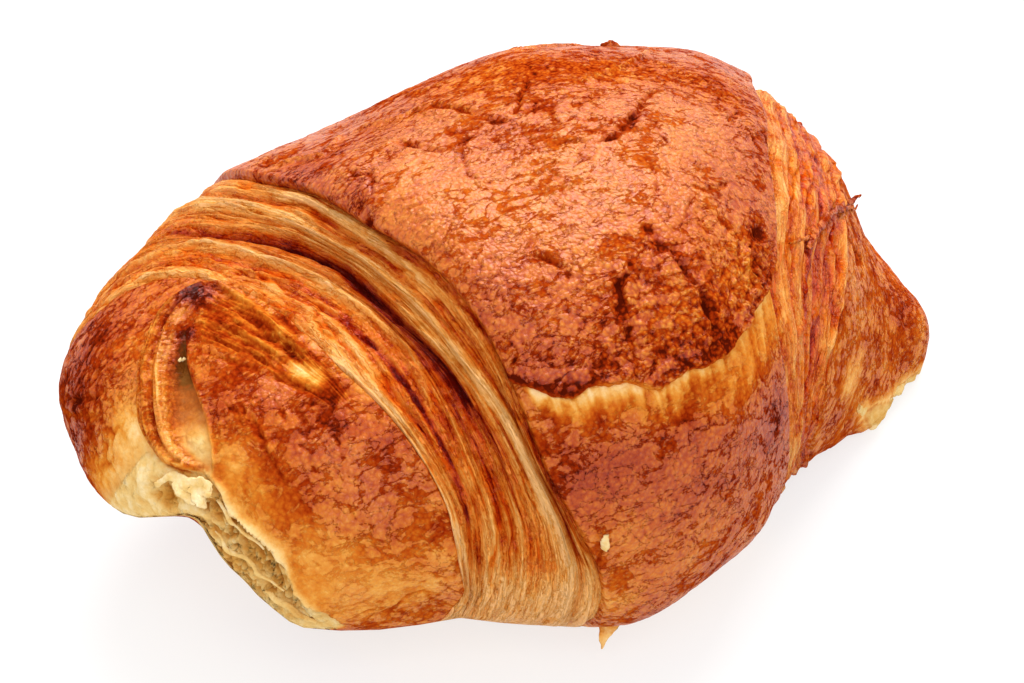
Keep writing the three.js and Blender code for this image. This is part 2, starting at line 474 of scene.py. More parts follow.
class Patch:
    """A grid of points on the roll, with what the crust functions need to know of each."""

    def __init__(self, places, angles, shrink=None):
        self.places = places
        self.angles = np.broadcast_to(angles, places.shape)
        self.base, self.normals, self.speed = roll_frame(self.places, self.angles)
        if shrink is not None:
            # the rows that close the roll's tip: each is drawn in towards its own middle
            share = shrink[:, None, None]
            mean_normals = self.normals.mean(1, keepdims=True)
            self.base = self.base * share + self.base.mean(1, keepdims=True) * (1 - share)
            self.normals = unit(self.normals * share + mean_normals * (1.02 - share))
        turn = np.radians(self.angles)
        self.turn = np.stack([np.cos(turn), np.sin(turn)], -1)
        self.signed = (self.angles + 180) % 360 - 180
        self.height = np.zeros(places.shape)
        self.bake = np.full(places.shape, 0.55)
        self.pale = np.zeros(places.shape)
        self.gloss = np.ones(places.shape)
        self.cracked = np.zeros(places.shape)
        self.streaks = self.base
        self.shaken = self.base + 0.7 * fractal_vectors(self.base / 2.4, 5.0, 900)
        self.broken = smooth_step(-0.55, 0.25, noise(self.base / 2.0, 905))

    def gap(self, edge):
        """Millimetres along the roll from one of the wraps' edges, above 0 towards the far horn."""
        return (self.places - EDGE[edge](self.angles)) * self.speed

    def flow(self, across, lines, length):
        """Coordinates for noise that runs in streaks round the roll."""
        return np.concatenate([across[..., None] * lines, self.turn * length], -1)

    def points(self):
        raised = self.base + self.normals * self.height[..., None]
        raised[..., 2] = np.maximum(raised[..., 2], 0)
        raised[..., 2] += outline_lift(raised)
        return raised

    def attributes(self, ends=()):
        """Values for each point, and for one more point at the middle of each of the rows in ends."""
        named = {"bake": self.bake, "pale": self.pale, "gloss": self.gloss, "cracked": self.cracked}
        made = {}
        for key, values in named.items():
            values = np.clip(values, 0, 1)
            made[key] = np.append(values.ravel(), [values[row].mean() for row in ends])
        middles = [self.streaks[row].mean(0) for row in ends]
        made["flow"] = np.vstack([self.streaks.reshape(-1, 3)] + middles)
        return made


def lip(gap, depth, radius):
    """A rounded edge: depth below the crust at the edge itself, level with it one radius inside."""
    t = np.clip(1 - gap / radius, 0, 1)
    return -depth * (1 - np.sqrt(1 - t ** 2))


TUCK_DEPTH = 3.4
# Degrees between the points round a piece: on the lobes and the far band, the near band, the horn, the
# front of the middle wrap, and the rest of that wrap, which lies covered or underneath.
TUBE_STEP = 0.72
FINE_STEP = 0.6
COARSE_STEP = 1.0
FINEST_STEP = 0.36
HIDDEN_STEP = 3.5


def tuck(gap, width):
    """The part of a wrap that goes down under the next one."""
    return -TUCK_DEPTH * smooth_step(0, width, gap)


def tube_piece(name, patch, material):
    """A closed piece from a patch that goes right round: its ends run in to one point each."""
    points = patch.points()
    rows, columns = points.shape[:2]
    every = np.vstack([points.reshape(-1, 3), points[0].mean(0), points[-1].mean(0)])
    count = rows * columns
    first = np.arange(columns)
    last = first + (rows - 1) * columns
    faces = [grid_faces(rows, columns, True), fan(first, count, True), fan(last, count + 1, False)]
    make_mesh(name, every, faces, patch.attributes((0, -1)), material)


# ---------------------------------------------------------------- the crust's relief

# Broad corrections to the plain roll: photo pixel, radius and height in millimetres.
ROLL_SWELLS = [
    ((430, 625), 10, -3.2), ((300, 612), 9, 1.6), ((622, 612), 8, 1.8), ((690, 578), 9, 0.5),
    ((760, 515), 6, 0.9), ((110, 496), 7, 0.6), ((200, 190), 8, 0.6), ((148, 240), 7, 0.5),
    ((310, 146), 12, -2.2), ((345, 120), 6, -0.8), ((420, 90), 10, -0.6), ((842, 180), 7, 1.1),
    ((915, 330), 7, 2.1), ((895, 275), 5, 0.8), ((868, 422), 6, 2.4), ((840, 440), 5, 1.0),
    ((800, 470), 5, -1.4), ((500, 56), 6, 0.5), ((692, 58), 6, 0.7), ((762, 92), 5, 0.6),
    ((62, 385), 6, 0.6),
]


def common_relief(patch):
    """Slow swells that every wrap shares, so that neighbours rise and fall together."""
    swell = 0.4 * noise(patch.base / 26, 3) + 0.25 * noise(patch.base / 12, 8) - 0.3
    return swell + spots(patch.base, ROLL_SWELLS) + 0.12 * noise(patch.base / 5.5, 9)


def wrinkled_skin(patch, seed):
    """The taut egg-washed skin: a loose net of creases, small scales, and less gloss in the creases."""
    p = patch.base
    zone = smooth_step(-0.1, 0.5, noise(p / 13, seed + 40))
    shake = fractal_vectors(p / 2.6, 7.0, seed + 50)
    net = creases(p / 8 + 0.16 * shake, 0.06, seed) * zone
    small = creases(p / 3.4 + 0.22 * shake, 0.09, seed + 11) * (0.3 + 0.7 * zone)
    scales = fractal(p / 1.7, 3, seed + 21)
    patch.height += 0.13 * scales - 0.3 * net - 0.14 * small
    lost = np.clip(net + 0.55 * small, 0, 1)
    patch.gloss -= 0.85 * lost
    patch.bake += 0.12 * lost


MARK_TAPER = 0.2


def valley(patch, pixels, width, depth, brown):
    """A crease drawn along the photo's pixels, with a low bank on each side of it."""
    middle = stroke(patch.shaken, pixels, width, MARK_TAPER) * (0.35 + 0.65 * patch.broken)
    bank = stroke(patch.shaken, pixels, 2.4 * width, MARK_TAPER)
    patch.height += depth * (0.45 * bank - 1.2 * middle)
    patch.bake += brown * middle
    patch.gloss -= 0.8 * middle


def ridge(patch, pixels, width, height, brown=-0.1):
    """A raised line drawn along the photo's pixels."""
    middle = stroke(toward(patch.base, patch.shaken, 0.3), pixels, width, MARK_TAPER)
    patch.height += height * middle
    # paler by default, which on the panel's ridges is a painted highlight
    patch.bake += brown * middle


def sheet_line(patch, pixels, width, height, brown):
    """The edge of one cut sheet, drawn along the photo's pixels."""
    line = stroke(toward(patch.base, patch.shaken, 0.45), pixels, width, 0.12) * (0.55 + 0.45 * patch.broken)
    patch.height += height * line
    patch.bake += brown * line


def tint(patch, pixel, radius, brown, gloss):
    """A round patch that is browner and glossier than the crust about it, or less so."""
    soft = spot(patch.base, pixel, radius)
    patch.bake += brown * soft
    patch.gloss += gloss * soft


def draw(patch, how, marks):
    """Draws each mark of a table in one way, such as valley, ridge, sheet_line or tint."""
    for mark in marks:
        how(patch, *mark)


def area(patch, pixels, inside, outside):
    """1 inside an outline of photo pixels and 0 outside it, with a soft edge given in pixels."""
    return smooth_step(-outside, inside, outline_depth(patch.base, patch.normals, pixels))


def sheaf(patch, first, second, soft, waves, seed):
    """Thin sheets between two lines of photo pixels.

    Gives how far across and along each point is, the relief there, and 1 inside the sheaf.
    """
    near, way = distance_to_curve(patch.base, bend_through(on_roll(first)), 16)
    far, _ = distance_to_curve(patch.base, bend_through(on_roll(second)), 16)
    share = near / (near + far + 1e-6)
    inside = area(patch, first + second[::-1], soft, soft)
    bent = share + 0.06 * noise(patch.base / 4, seed + 9)
    relief = fractal(plane(bent * waves, way * 2.6), 2, seed)
    relief = relief + 0.7 * noise(plane(bent * waves * 2.6, way * 4.0), seed + 4)
    return share, way, relief, inside


# The torn end, in the photo's pixels: the hollow between the lobes, the bare crumb, the two sides of the
# sheets that sweep over the front lobe, those of the sheets folded round the hollow, and the torn edge.
POCKET = [(184, 330), (176, 345), (168, 372), (169, 420), (177, 446), (194, 462), (212, 478), (214, 448),
          (208, 420), (198, 392), (186, 362)]
CRUMB = [(112, 506), (117, 494), (126, 482), (136, 467), (147, 453), (158, 456), (170, 467), (184, 473),
         (204, 470), (214, 479), (222, 492), (231, 514), (252, 531), (270, 545), (286, 562), (296, 584),
         (310, 598), (326, 607), (345, 626), (300, 640), (240, 640), (100, 600)]
FAN_UPPER = [(206, 284), (240, 296), (275, 317), (305, 344), (330, 371), (352, 398)]
FAN_LOWER = [(196, 338), (222, 350), (252, 362), (282, 382), (312, 398), (330, 408)]
FOLD_OUTER = [(206, 286), (182, 296), (163, 315), (148, 340), (139, 370), (138, 400), (142, 425), (152, 445),
              (165, 462), (182, 471), (200, 471)]
FOLD_INNER = [(206, 298), (186, 316), (174, 340), (167, 370), (168, 400), (170, 430), (177, 447), (190, 459),
              (202, 465)]
CRUMB_LIP = [(210, 462), (211, 478), (222, 491), (231, 514), (252, 531), (270, 545), (285, 561), (296, 584),
             (312, 599), (328, 607)]
# The two ends of the line that the tear runs along, and how far across the crumb under the lower
# outline goes.
TEAR_LINE = [(228, 505), (300, 600)]
CRUMB_END = 335
# Spots of the torn end: photo pixel, radius in millimetres and amount.
LOBE_SWELLS = [((100, 400), 14, 1.0), ((330, 480), 20, 0.8), ((204, 300), 3.4, 1.4)]
POCKET_BROWNS = [
    ((182, 350), 2.6, .4), ((190, 366), 1.8, .35), ((176, 362), 1.8, .2), ((186, 412), 2.6, -.1),
    ((196, 446), 4.0, -.34), ((180, 440), 2.5, -.12), ((204, 470), 3, -.2),
]
POCKET_FOOT = [((197, 444), 3.4, 1.8)]
POCKET_CRUMB = [((198, 448), 2.6, 0.75)]
CHARRED = [((203, 300), 2.6, 1), ((192, 300), 1.4, 1), ((186, 335), 1.3, 1)]
OPEN_CRUMB = [((235, 535), 5, 1), ((265, 570), 5.5, 1), ((290, 598), 4, 1), ((166, 492), 1.8, 0.8),
              ((205, 505), 2.5, 0.6)]
CRUMB_SWELLS = [((150, 486), 5, 1.3), ((126, 498), 3, 0.8)]
CRUMB_BROWNS = [((168, 492), 1.6, 0.5), ((190, 474), 2.0, 0.3)]
CRUST_CORNER = [((110, 496), 2.2, 0.7)]


def front_sheets(patch):
    """Thin sheets that sweep from the tip over the front lobe."""
    _, _, relief, inside = sheaf(patch, FAN_UPPER, FAN_LOWER, 5, 8.0, 12)
    patch.height += 0.28 * relief * inside
    patch.bake -= (0.16 * relief + 0.04) * inside
    patch.gloss -= 0.5 * inside


def hollow(patch):
    """The pocket between the lobes: 1 inside it."""
    p = patch.base
    pocket = area(patch, POCKET, 7, 2)
    patch.height = toward(patch.height, spots(p, POCKET_FOOT) - 2.0, pocket)
    arcs = noise(np.stack([p[..., 2] * 1.1, p[..., 0] * .15, p[..., 1] * .15], -1), 33)
    patch.height += 0.2 * arcs * pocket
    patch.bake = toward(patch.bake, 0.68 + 0.12 * arcs + spots(p, POCKET_BROWNS), pocket)
    patch.gloss -= 0.6 * pocket
    return pocket


def folded_sheets(patch):
    """The thin sheets folded round the hollow, with a dark line where two of them part."""
    share, way, relief, inside = sheaf(patch, FOLD_OUTER, FOLD_INNER, 1.5, 7.0, 37)
    bulge = np.sin(np.pi * np.clip(share, 0, 1)) ** 0.5
    parting = bell(share - 0.6, 0.09)
    patch.height = toward(patch.height, 0.2 + 1.4 * bulge + 0.4 * relief, inside)
    patch.height -= 0.9 * inside * parting
    brown = 0.48 - 0.26 * relief - 0.1 * smooth_step(0.62, 0.9, way)
    # towards the inner line the sheets grow paler, a painted sheen, beside their glossier coat
    brown = brown + 0.2 * parting - 0.08 * smooth_step(0.68, 0.8, share)
    patch.bake = toward(patch.bake, brown, inside)
    patch.gloss = toward(patch.gloss, 0.35 + 0.6 * smooth_step(0.6, 0.75, share), inside)


def charred_tip(patch):
    """The nearly black spots at the top of the hollow."""
    p = patch.base
    char = np.clip(spots(p, CHARRED), 0, 1)
    patch.bake = toward(patch.bake, 0.92 + 0.12 * fractal(p / 1.2, 2, 36), char)
    patch.gloss = toward(patch.gloss, 1, char)


def torn_face(patch, pocket):
    """The bare crumb: open cells drawn out along the tear, a ragged border and a raised lip of crust."""
    p = patch.base
    across = to_photo(p)[..., 0]
    below = smooth_step(-1, 2, under_outline(p))
    below = below * smooth_step(CRUMB_END, CRUMB_END - 20, across) * smooth_step(.27, .23, patch.places)
    ragged = 0.5 * fractal(p / 1.5, 2, 77)
    crumb = np.maximum(area(patch, CRUMB, 2.0, 1.5), below)
    crumb = smooth_step(0.15, 0.85, crumb + 0.35 * ragged * (crumb > 0.01))
    tear_start, tear_end = on_roll(TEAR_LINE)
    along_tear = unit(tear_end - tear_start)
    squeezed = p - 0.5 * (p @ along_tear)[..., None] * along_tear
    first, second = cells(squeezed / 1.35 + 0.7 * noise_vectors(p / 2.8, 83), 72)
    comb = np.clip(spots(p, OPEN_CRUMB) + 0.4 * below, 0, 1)
    holes = (1 - bell(second - first, 0.2)) * smooth_step(0.05, 0.4, first) * (0.12 + 0.88 * comb)
    lumps = fractal(squeezed / 3.0, 3, 78)
    relief = -1.8 * holes - 1.2 * comb + 0.9 * lumps * (1 - 0.6 * comb) + 0.25 * fractal(p / 1.1, 2, 79)
    patch.height = patch.height * (1 - 0.8 * crumb) + crumb * (relief + spots(p, CRUMB_SWELLS))
    edge_lip = stroke(p, CRUMB_LIP, 0.55, 0.1)
    patch.height += 0.9 * edge_lip
    # browner where the crumb lies deep, paler on its raised lumps: painted shade and light on the relief
    brown = np.clip(0.12 + 0.75 * holes - 0.4 * lumps + 0.12 * comb, 0, 1) + spots(p, CRUMB_BROWNS)
    patch.bake = toward(patch.bake, brown, crumb)
    patch.bake -= 0.3 * edge_lip * (1 - crumb)
    patch.gloss -= 0.5 * edge_lip
    # the crumb's border fades into the crust on the left lobe, where the crust is thin
    soft_border = 0.7 * area(patch, CRUMB, 1, 16) * smooth_step(175, 145, across)
    crumb = np.maximum(crumb * (1 - spots(p, CRUST_CORNER)), soft_border)
    patch.pale = np.clip(crumb + (0.3 + spots(p, POCKET_CRUMB)) * pocket + 0.6 * edge_lip, 0, 1)


def lobes():
    """The two rolled lobes at the torn end, the pocket between them and the torn crumb below."""
    angles = np.arange(0, 360, TUBE_STEP)
    edge = EDGE["lobe"](angles)
    steps = spaced([0.0, 0.5, 1.0, 1.12], [70, 90, 7]) + 0.002
    rings = np.linspace(0.06, 0.94, 8)
    steps = np.concatenate([np.full(len(rings), steps[0]), steps])
    shrink = np.ones(len(steps))
    shrink[:len(rings)] = rings
    patch = Patch(steps[:, None] * edge[None, :] + 0.001, angles, shrink)
    p = patch.base
    wrinkled_skin(patch, 100)
    patch.height += common_relief(patch) + tuck(patch.gap("lobe") + 0.1, 3.0)
    patch.bake += 0.04 + 0.14 * fractal(p / 7, 3, 31) + 0.1 * fractal(p / 2.2, 2, 35)
    patch.gloss *= 0.48 + 0.35 * smooth_step(-0.2, 0.5, noise(p / 6, 38))
    front_sheets(patch)
    patch.height += spots(p, LOBE_SWELLS)
    draw(patch, valley, LOBE_CREASES)
    draw(patch, ridge, LOBE_RIDGES)
    draw(patch, tint, LOBE_TINTS)
    for pixels, width, brown in LOBE_STREAKS:
        patch.bake += brown * stroke(p, pixels, width, 0.3)
    pocket = hollow(patch)
    folded_sheets(patch)
    charred_tip(patch)
    torn_face(patch, pocket)
    tube_piece("lobes", patch, skin())


# Creases and ridges on the lobes: photo pixels, width and depth or height in millimetres, browning.
LOBE_CREASES = [
    ([(62, 394), (78, 400), (96, 399), (112, 392)], .6, .8, .1),
    ([(64, 410), (76, 416), (92, 415), (106, 420)], .4, .4, -.15),
    ([(212, 300), (240, 312), (270, 336), (296, 352), (320, 370)], .6, .7, .12),
    ([(200, 312), (230, 322), (262, 336), (300, 352), (318, 362)], .5, .6, .12),
    ([(200, 326), (228, 332), (255, 346), (283, 362)], .4, .5, .12),
    ([(205, 336), (230, 345), (262, 362), (290, 384)], .4, .5, .1),
    ([(196, 350), (215, 354), (240, 364), (270, 378)], .4, .4, .08),
    ([(268, 372), (290, 384), (315, 393), (340, 400)], .6, .8, .08),
    ([(246, 412), (258, 430), (272, 458), (297, 500)], .35, .5, .12),
    ([(300, 440), (312, 462), (318, 478)], .3, .4, .12),
    ([(268, 395), (286, 418), (296, 440)], .3, .4, .12),
    ([(330, 430), (345, 455), (350, 480)], .3, .4, .1),
    ([(236, 400), (250, 425), (270, 445)], .3, .4, .12),
    ([(345, 500), (360, 520), (380, 530)], .3, .3, .1),
    ([(222, 402), (236, 415), (247, 432)], .3, .4, .1),
    ([(110, 330), (96, 345), (84, 362)], .4, .4, .1),
    ([(120, 360), (104, 372), (92, 388)], .4, .4, .1),
    ([(126, 420), (112, 440), (104, 462)], .4, .3, .1),
]
LOBE_RIDGES = [
    ([(206, 284), (224, 290), (245, 303), (272, 324), (300, 350), (322, 375)], .6, .9, -.08),
    ([(205, 318), (235, 328), (262, 344), (290, 362)], .5, .5, -.1),
    ([(183, 362), (190, 385), (200, 405), (207, 430), (213, 455), (212, 476)], .4, .9, -.25),
    ([(190, 378), (197, 400), (202, 424)], .3, .5, -.2),
    ([(192, 398), (197, 420)], .25, .4, -.2),
]
# Browning painted on the lobes: photo pixel, radius in millimetres, browning, gloss.
LOBE_TINTS = [
    ((132, 462), 4.5, -.2, -.2), ((114, 480), 4, -.14, -.2), ((90, 345), 9, .12, -.1),
    ((84, 430), 6, .12, 0), ((80, 375), 5, .06, -.1), ((128, 410), 4, -.18, 0), ((122, 440), 5, -.16, 0),
    ((106, 485), 5, -.22, -.2), ((145, 440), 4, -.2, -.3), ((143, 350), 3, -.1, 0),
    ((330, 470), 14, .02, .2), ((235, 385), 5, .14, -.1), ((276, 450), 3, .12, -.2),
    ((296, 495), 3, .12, -.2), ((252, 480), 6, -.08, -.2), ((262, 515), 5, -.12, -.2),
    ((230, 450), 4, -.12, 0), ((290, 540), 5, -.06, 0), ((232, 480), 3, -.12, -.2),
    ((330, 600), 9, -.12, -.1), ((300, 575), 6, -.14, -.2), ((400, 600), 9, -.1, 0),
    ((440, 585), 7, -.12, 0), ((380, 560), 7, -.06, 0), ((262, 325), 8, -.1, 0),
    ((318, 336), 3.0, -.12, 0), ((240, 350), 5, -.06, -.2), ((280, 296), 5, -.06, 0),
    ((392, 470), 8, .06, .1), ((340, 560), 8, -.04, 0), ((360, 410), 6, -.06, 0),
    ((330, 410), 5, .1, -.2),
]
# Streaks painted on the lobes: photo pixels, width in millimetres, browning.
LOBE_STREAKS = [
    ([(222, 480), (233, 508), (252, 526), (275, 545), (292, 570)], 1.1, -.25),
    ([(283, 372), (300, 370), (316, 378), (330, 386)], 1.5, -.42),
    ([(190, 316), (225, 324), (258, 338), (300, 360), (322, 372)], 0.5, .22),
    ([(205, 300), (240, 316), (275, 330), (300, 347), (316, 364)], 0.5, .18),
    ([(196, 332), (225, 336), (252, 346), (280, 358)], 0.4, .16),
    ([(262, 300), (284, 318), (300, 336), (314, 356), (330, 376)], 0.45, .16),
    ([(296, 392), (320, 398), (345, 408)], 0.8, .1),
    ([(308, 322), (322, 338), (334, 352)], 0.9, -.16),
    ([(330, 350), (345, 368), (362, 388), (380, 408)], 0.9, -.25),
]


# Heights and browning across the cut layers of the near band: at the lobe's edge (0), the pale bark
# (1), the dark groove (2), the pale ridge (3) and the shoulder of the last wrap (4).
BAND_STOPS = [0, .12, .25, .38, .5, .62, .75, .87, 1.0, 1.12, 1.25, 1.4, 1.6, 1.8, 1.9, 2.0, 2.1, 2.3,
              2.55, 2.7, 2.85, 3.0, 3.15, 3.3, 3.42, 3.55, 3.7, 3.82, 3.9, 4.0]
BAND_HEIGHT = [-.2, .4, 0, .25, -.2, .3, -.1, -.3, .5, .3, -.2, .1, -.1, -.5, -1.1, -1.8, -.9, -.3,
               0, -.2, .2, .6, .4, .1, -.4, 0, .4, .5, .1, 0]
BAND_BAKE = [.42, .4, .5, .44, .58, .48, .6, .6, .42, .44, .58, .5, .58, .6, .66, .78, .66, .54,
             .48, .5, .4, .24, .36, .52, .6, .52, .4, .44, .54, .6]
GROOVE_LEVEL = 1.97


def sheets(patch, level, count, seed):
    """Thin cut sheets across a band: how far up its sheet each point is, 0 to 1, and dark lines between."""
    phase = level * count + 0.8 * noise(patch.flow(level, 1.4, 3.0), seed)
    phase = phase + 0.3 * noise(patch.flow(level, 4.0, 9.0), seed + 1)
    rise = phase - np.floor(phase)
    line = bell(1 - rise, 0.16) + bell(rise, 0.1)
    strong = smooth_step(-0.5, 0.4, noise(patch.flow(level, 1.9, 3.5), seed + 2))
    return (rise - smooth_step(0.8, 1, rise)) * strong, np.clip(line, 0, 1) * strong


def add_layers(patch, level, counts, heights, browns, line_brown, seed, sheet_seed):
    """Relief and browning of cut layers; gives the dark lines between the widest of them.

    Of counts to one level, heights and browns there are four each: for wide sheets, thin sheets, fibres
    and the finest fibres.
    """
    wide, wide_line = sheets(patch, level, counts[0], sheet_seed)
    thin, thin_line = sheets(patch, level, counts[1], sheet_seed + 4)
    fibres = fractal(patch.flow(level, counts[2], 2.2), 2, seed + 2)
    finest = noise(patch.flow(level, counts[3], 4.0), seed + 5)
    for part, height, brown in zip((wide, thin, fibres, finest), heights, browns):
        patch.height += height * part
        patch.bake -= brown * part
    patch.height += 0.1 * fractal(patch.base / 1.6, 2, seed + 7) - 0.3
    patch.bake += 0.16 * wide_line + line_brown * thin_line
    return wide_line


def near_band():
    """The band of cut layers behind the lobes, with a dark groove between its pale bark and pale ridge."""
    angles = np.arange(0, 360, FINE_STEP)
    stops = [EDGE[name](angles) for name in ("lobe", "bark", "groove", "ridge", "shoulder")]
    levels = spaced([0, 0.15, 1, 1.85, 2.15, 3, 4, 4.6], [10, 32, 26, 16, 28, 38, 5])
    columns = [list(column) + [column[-1] + 0.022] for column in np.stack(stops, -1)]
    patch = Patch(np.stack([np.interp(levels, [0, 1, 2, 3, 4, 4.6], c) for c in columns], -1), angles)
    p, signed = patch.base, patch.signed
    level = np.broadcast_to(levels[:, None], patch.places.shape)
    inside = smooth_step(0, 0.3, level) * smooth_step(4.1, 3.8, level)
    wander = 0.16 * noise(patch.flow(level, 0.8, 3.5), 41) + 0.07 * noise(patch.flow(level, 2.2, 7.0), 42)
    bent = np.clip(level + wander * inside, 0, 4)
    # the dark groove runs out at the front, into a run of loose fibres
    open_groove = np.clip(smooth_step(8, 30, signed) + smooth_step(-60, -100, signed), 0, 1)
    high_groove = smooth_step(45, 85, signed) * bell(bent - GROOVE_LEVEL, 0.16)
    near_groove = bell(bent - GROOVE_LEVEL, 0.3) * (1 - open_groove)
    patch.height = np.interp(bent, BAND_STOPS, BAND_HEIGHT) * (1 - 0.85 * near_groove)
    patch.height += common_relief(patch)
    patch.height += lip(patch.gap("lobe"), 1.6, 0.6) + tuck(patch.gap("shoulder") + 0.3, 3.0)
    patch.height -= 0.8 * high_groove
    patch.bake = toward(np.interp(bent, BAND_STOPS, BAND_BAKE), 0.5, near_groove) - 0.14
    patch.bake += 0.14 * high_groove + 0.1 * fractal(p / 5, 2, 51)
    wide_line = add_layers(patch, level, (2.3, 6.0, 7.0, 19.0), (0.6, 0.3, 0.24, 0.14),
                           (0.12, 0.05, 0.14, 0.1), 0.14, 41, 141)
    draw(patch, sheet_line, BAND_LINES)
    # the foot of the band, in front, is pale and even
    foot = smooth_step(0, -20, signed) * smooth_step(-130, -90, signed)
    patch.bake = toward(patch.bake, 0.5 * patch.bake - 0.1, 0.9 * foot)
    draw(patch, tint, BAND_TINTS)
    patch.gloss = 0.5 + 0.3 * smooth_step(0.35, 0.75, patch.bake) - 0.5 * wide_line
    patch.streaks = np.concatenate([level[..., None] * 5.5, patch.turn * 2.2], -1)
    tube_piece("near_band", patch, layers())


# Single sheets of the near band: photo pixels, width in millimetres, height, browning.
BAND_LINES = [
    ([(180, 228), (240, 233), (280, 239), (310, 252), (335, 265), (355, 281), (385, 310), (400, 325),
      (420, 346), (440, 371), (460, 400), (478, 428)], .75, -.9, .42),
    ([(290, 181), (330, 193), (365, 223), (400, 251), (425, 262), (440, 281), (475, 321), (500, 370)],
     .5, -.4, .2),
    ([(250, 185), (300, 197), (340, 216), (362, 228), (400, 261), (440, 303)], .8, .3, -.32),
    ([(215, 192), (250, 195), (280, 205), (310, 223), (340, 241), (370, 253), (400, 276), (425, 303),
      (455, 340), (480, 376)], .5, -.4, .24),
    ([(190, 206), (230, 198), (290, 213), (330, 243)], 1.1, .3, -.12),
    ([(392, 286), (420, 321), (440, 345), (465, 371), (485, 396), (505, 416), (520, 450), (540, 490),
      (556, 522), (568, 560), (571, 592)], .95, .5, -.3),
    ([(180, 246), (215, 245), (260, 256), (300, 271), (330, 286), (355, 306), (375, 322)], .8, .4, -.22),
    ([(180, 254), (230, 260), (270, 273), (300, 287), (330, 302), (356, 327), (382, 352), (410, 392),
      (436, 438)], .4, -.4, .3),
    ([(490, 386), (510, 411), (530, 441), (545, 476), (560, 511), (575, 546), (590, 580)], .4, -.3, .28),
    ([(150, 262), (190, 266), (240, 272), (280, 288), (315, 310), (350, 345)], .35, -.3, .2),
    ([(300, 296), (345, 322), (390, 366), (430, 422), (455, 480), (470, 540), (477, 596)], .4, -.4, .24),
    ([(330, 300), (370, 341), (410, 392), (440, 442), (462, 500), (478, 556), (490, 606)], .35, -.3, .2),
    ([(318, 346), (345, 366), (368, 390), (388, 408), (408, 436), (434, 488), (457, 540), (470, 592)],
     .85, .4, -.34),
    ([(400, 332), (430, 372), (460, 422), (485, 472), (500, 522), (508, 570), (513, 612)], .35, -.3, .22),
    ([(440, 386), (470, 436), (496, 490), (513, 540), (522, 606)], .3, -.3, .2),
    ([(505, 430), (526, 476), (540, 530), (545, 606)], .3, -.3, .18),
    ([(420, 400), (446, 446), (470, 500), (486, 560)], .5, .3, -.16),
    ([(470, 468), (490, 512), (500, 560), (503, 600)], .5, .3, -.16),
    ([(120, 290), (150, 276), (185, 272), (225, 276)], .4, .3, -.16),
    ([(96, 318), (120, 296), (152, 283), (190, 280)], .3, -.3, .16),
    ([(260, 283), (300, 303), (335, 328), (365, 362)], .45, .3, -.18),
]
BAND_TINTS = [
    ((290, 310), 3.4, .22, .2), ((318, 334), 2.6, .02, .3), ((430, 405), 6, .12, 0), ((466, 470), 6, .08, 0),
]


def middle():
    """The wrap under the last one, which shows below the torn edge."""
    angles = np.concatenate([np.arange(-65, 50, FINEST_STEP), np.arange(50, 295, HIDDEN_STEP)])
    start, end = EDGE["shoulder"](angles), EDGE["seam"](angles)
    steps = spaced([0, 0.02, 0.98, 1], [8, 176, 8])
    places = start + steps[:, None] * (end - start)
    patch = Patch(places, angles)
    p, signed = patch.base, patch.signed
    torn = np.interp(places, *np.array(TORN_EDGE).T)
    covered = np.clip(smooth_step(0, 4, signed - torn) + (signed < -70), 0, 1)
    wrinkled_skin(patch, 200)
    patch.gloss *= 0.75
    patch.height += common_relief(patch) + 0.3 - 1.6 * covered
    patch.height += lip(patch.gap("shoulder"), 2.4, 1.0) + lip(-patch.gap("seam"), 3.0, 1.5)
    # a pale rim below the torn edge, with a paler hem at the edge itself
    below_tear = (torn - signed) * MM_BELOW_TEAR
    reach = np.interp(places, *np.array(RIM_WIDTHS).T) * (1 + 0.3 * noise(plane(places * 60), 60))
    uncovered = smooth_step(.325, .345, places)
    rim = smooth_step(1.15, 0.35, below_tear / reach) * uncovered
    streaks = noise(plane(places * 95, signed / 9), 61) + 0.6 * noise(plane(places * 210, signed / 6), 62)
    patch.height += (0.16 * streaks - 0.2) * rim
    patch.bake += 0.05 + 0.12 * fractal(p / 8, 3, 63) - (0.24 + 0.14 * streaks) * rim
    hem = smooth_step(2.6, 0, below_tear) * uncovered * (0.24 - 0.12 * smooth_step(.5, .58, places))
    patch.bake -= hem * (0.45 + 0.6 * patch.broken + 0.4 * streaks)
    patch.bake -= 0.3 * smooth_step(-30, -44, signed)
    patch.gloss -= 0.55 * rim
    draw(patch, tint, MIDDLE_TINTS)
    draw(patch, valley, MIDDLE_CREASES)
    tube_piece("middle_wrap", patch, skin())


# How far the pale rim reaches below the torn edge, as knots of place and millimetres.
RIM_WIDTHS = [(.33, 1.8), (.36, 4.4), (.45, 5.6), (.52, 7.0), (.6, 12.0), (.66, 13.0)]
MM_BELOW_TEAR = 0.62  # to one degree round the roll
# Browning of the middle wrap: photo pixel, radius in millimetres, browning, gloss.
MIDDLE_TINTS = [
    ((755, 352), 6, .06, 0), ((778, 415), 6, .14, 0), ((660, 565), 9, -.08, 0), ((735, 400), 5, .05, 0),
    ((660, 430), 8, .04, .1), ((540, 420), 4, -.12, 0), ((700, 480), 16, .06, 0), ((640, 500), 12, .04, .1),
    ((610, 545), 5, -.12, 0), ((720, 540), 9, -.05, 0), ((650, 590), 8, .1, 0), ((790, 420), 5, .1, 0),
    ((570, 480), 6, .05, 0), ((600, 600), 6, -.2, 0),
]
MIDDLE_CREASES = [
    ([(600, 548), (599, 570), (600, 592)], .35, .8, .15),
    ([(790, 338), (800, 365), (806, 400), (806, 436)], .5, .6, .15),
    ([(782, 352), (790, 385), (794, 420), (790, 450)], .4, .5, .15),
]
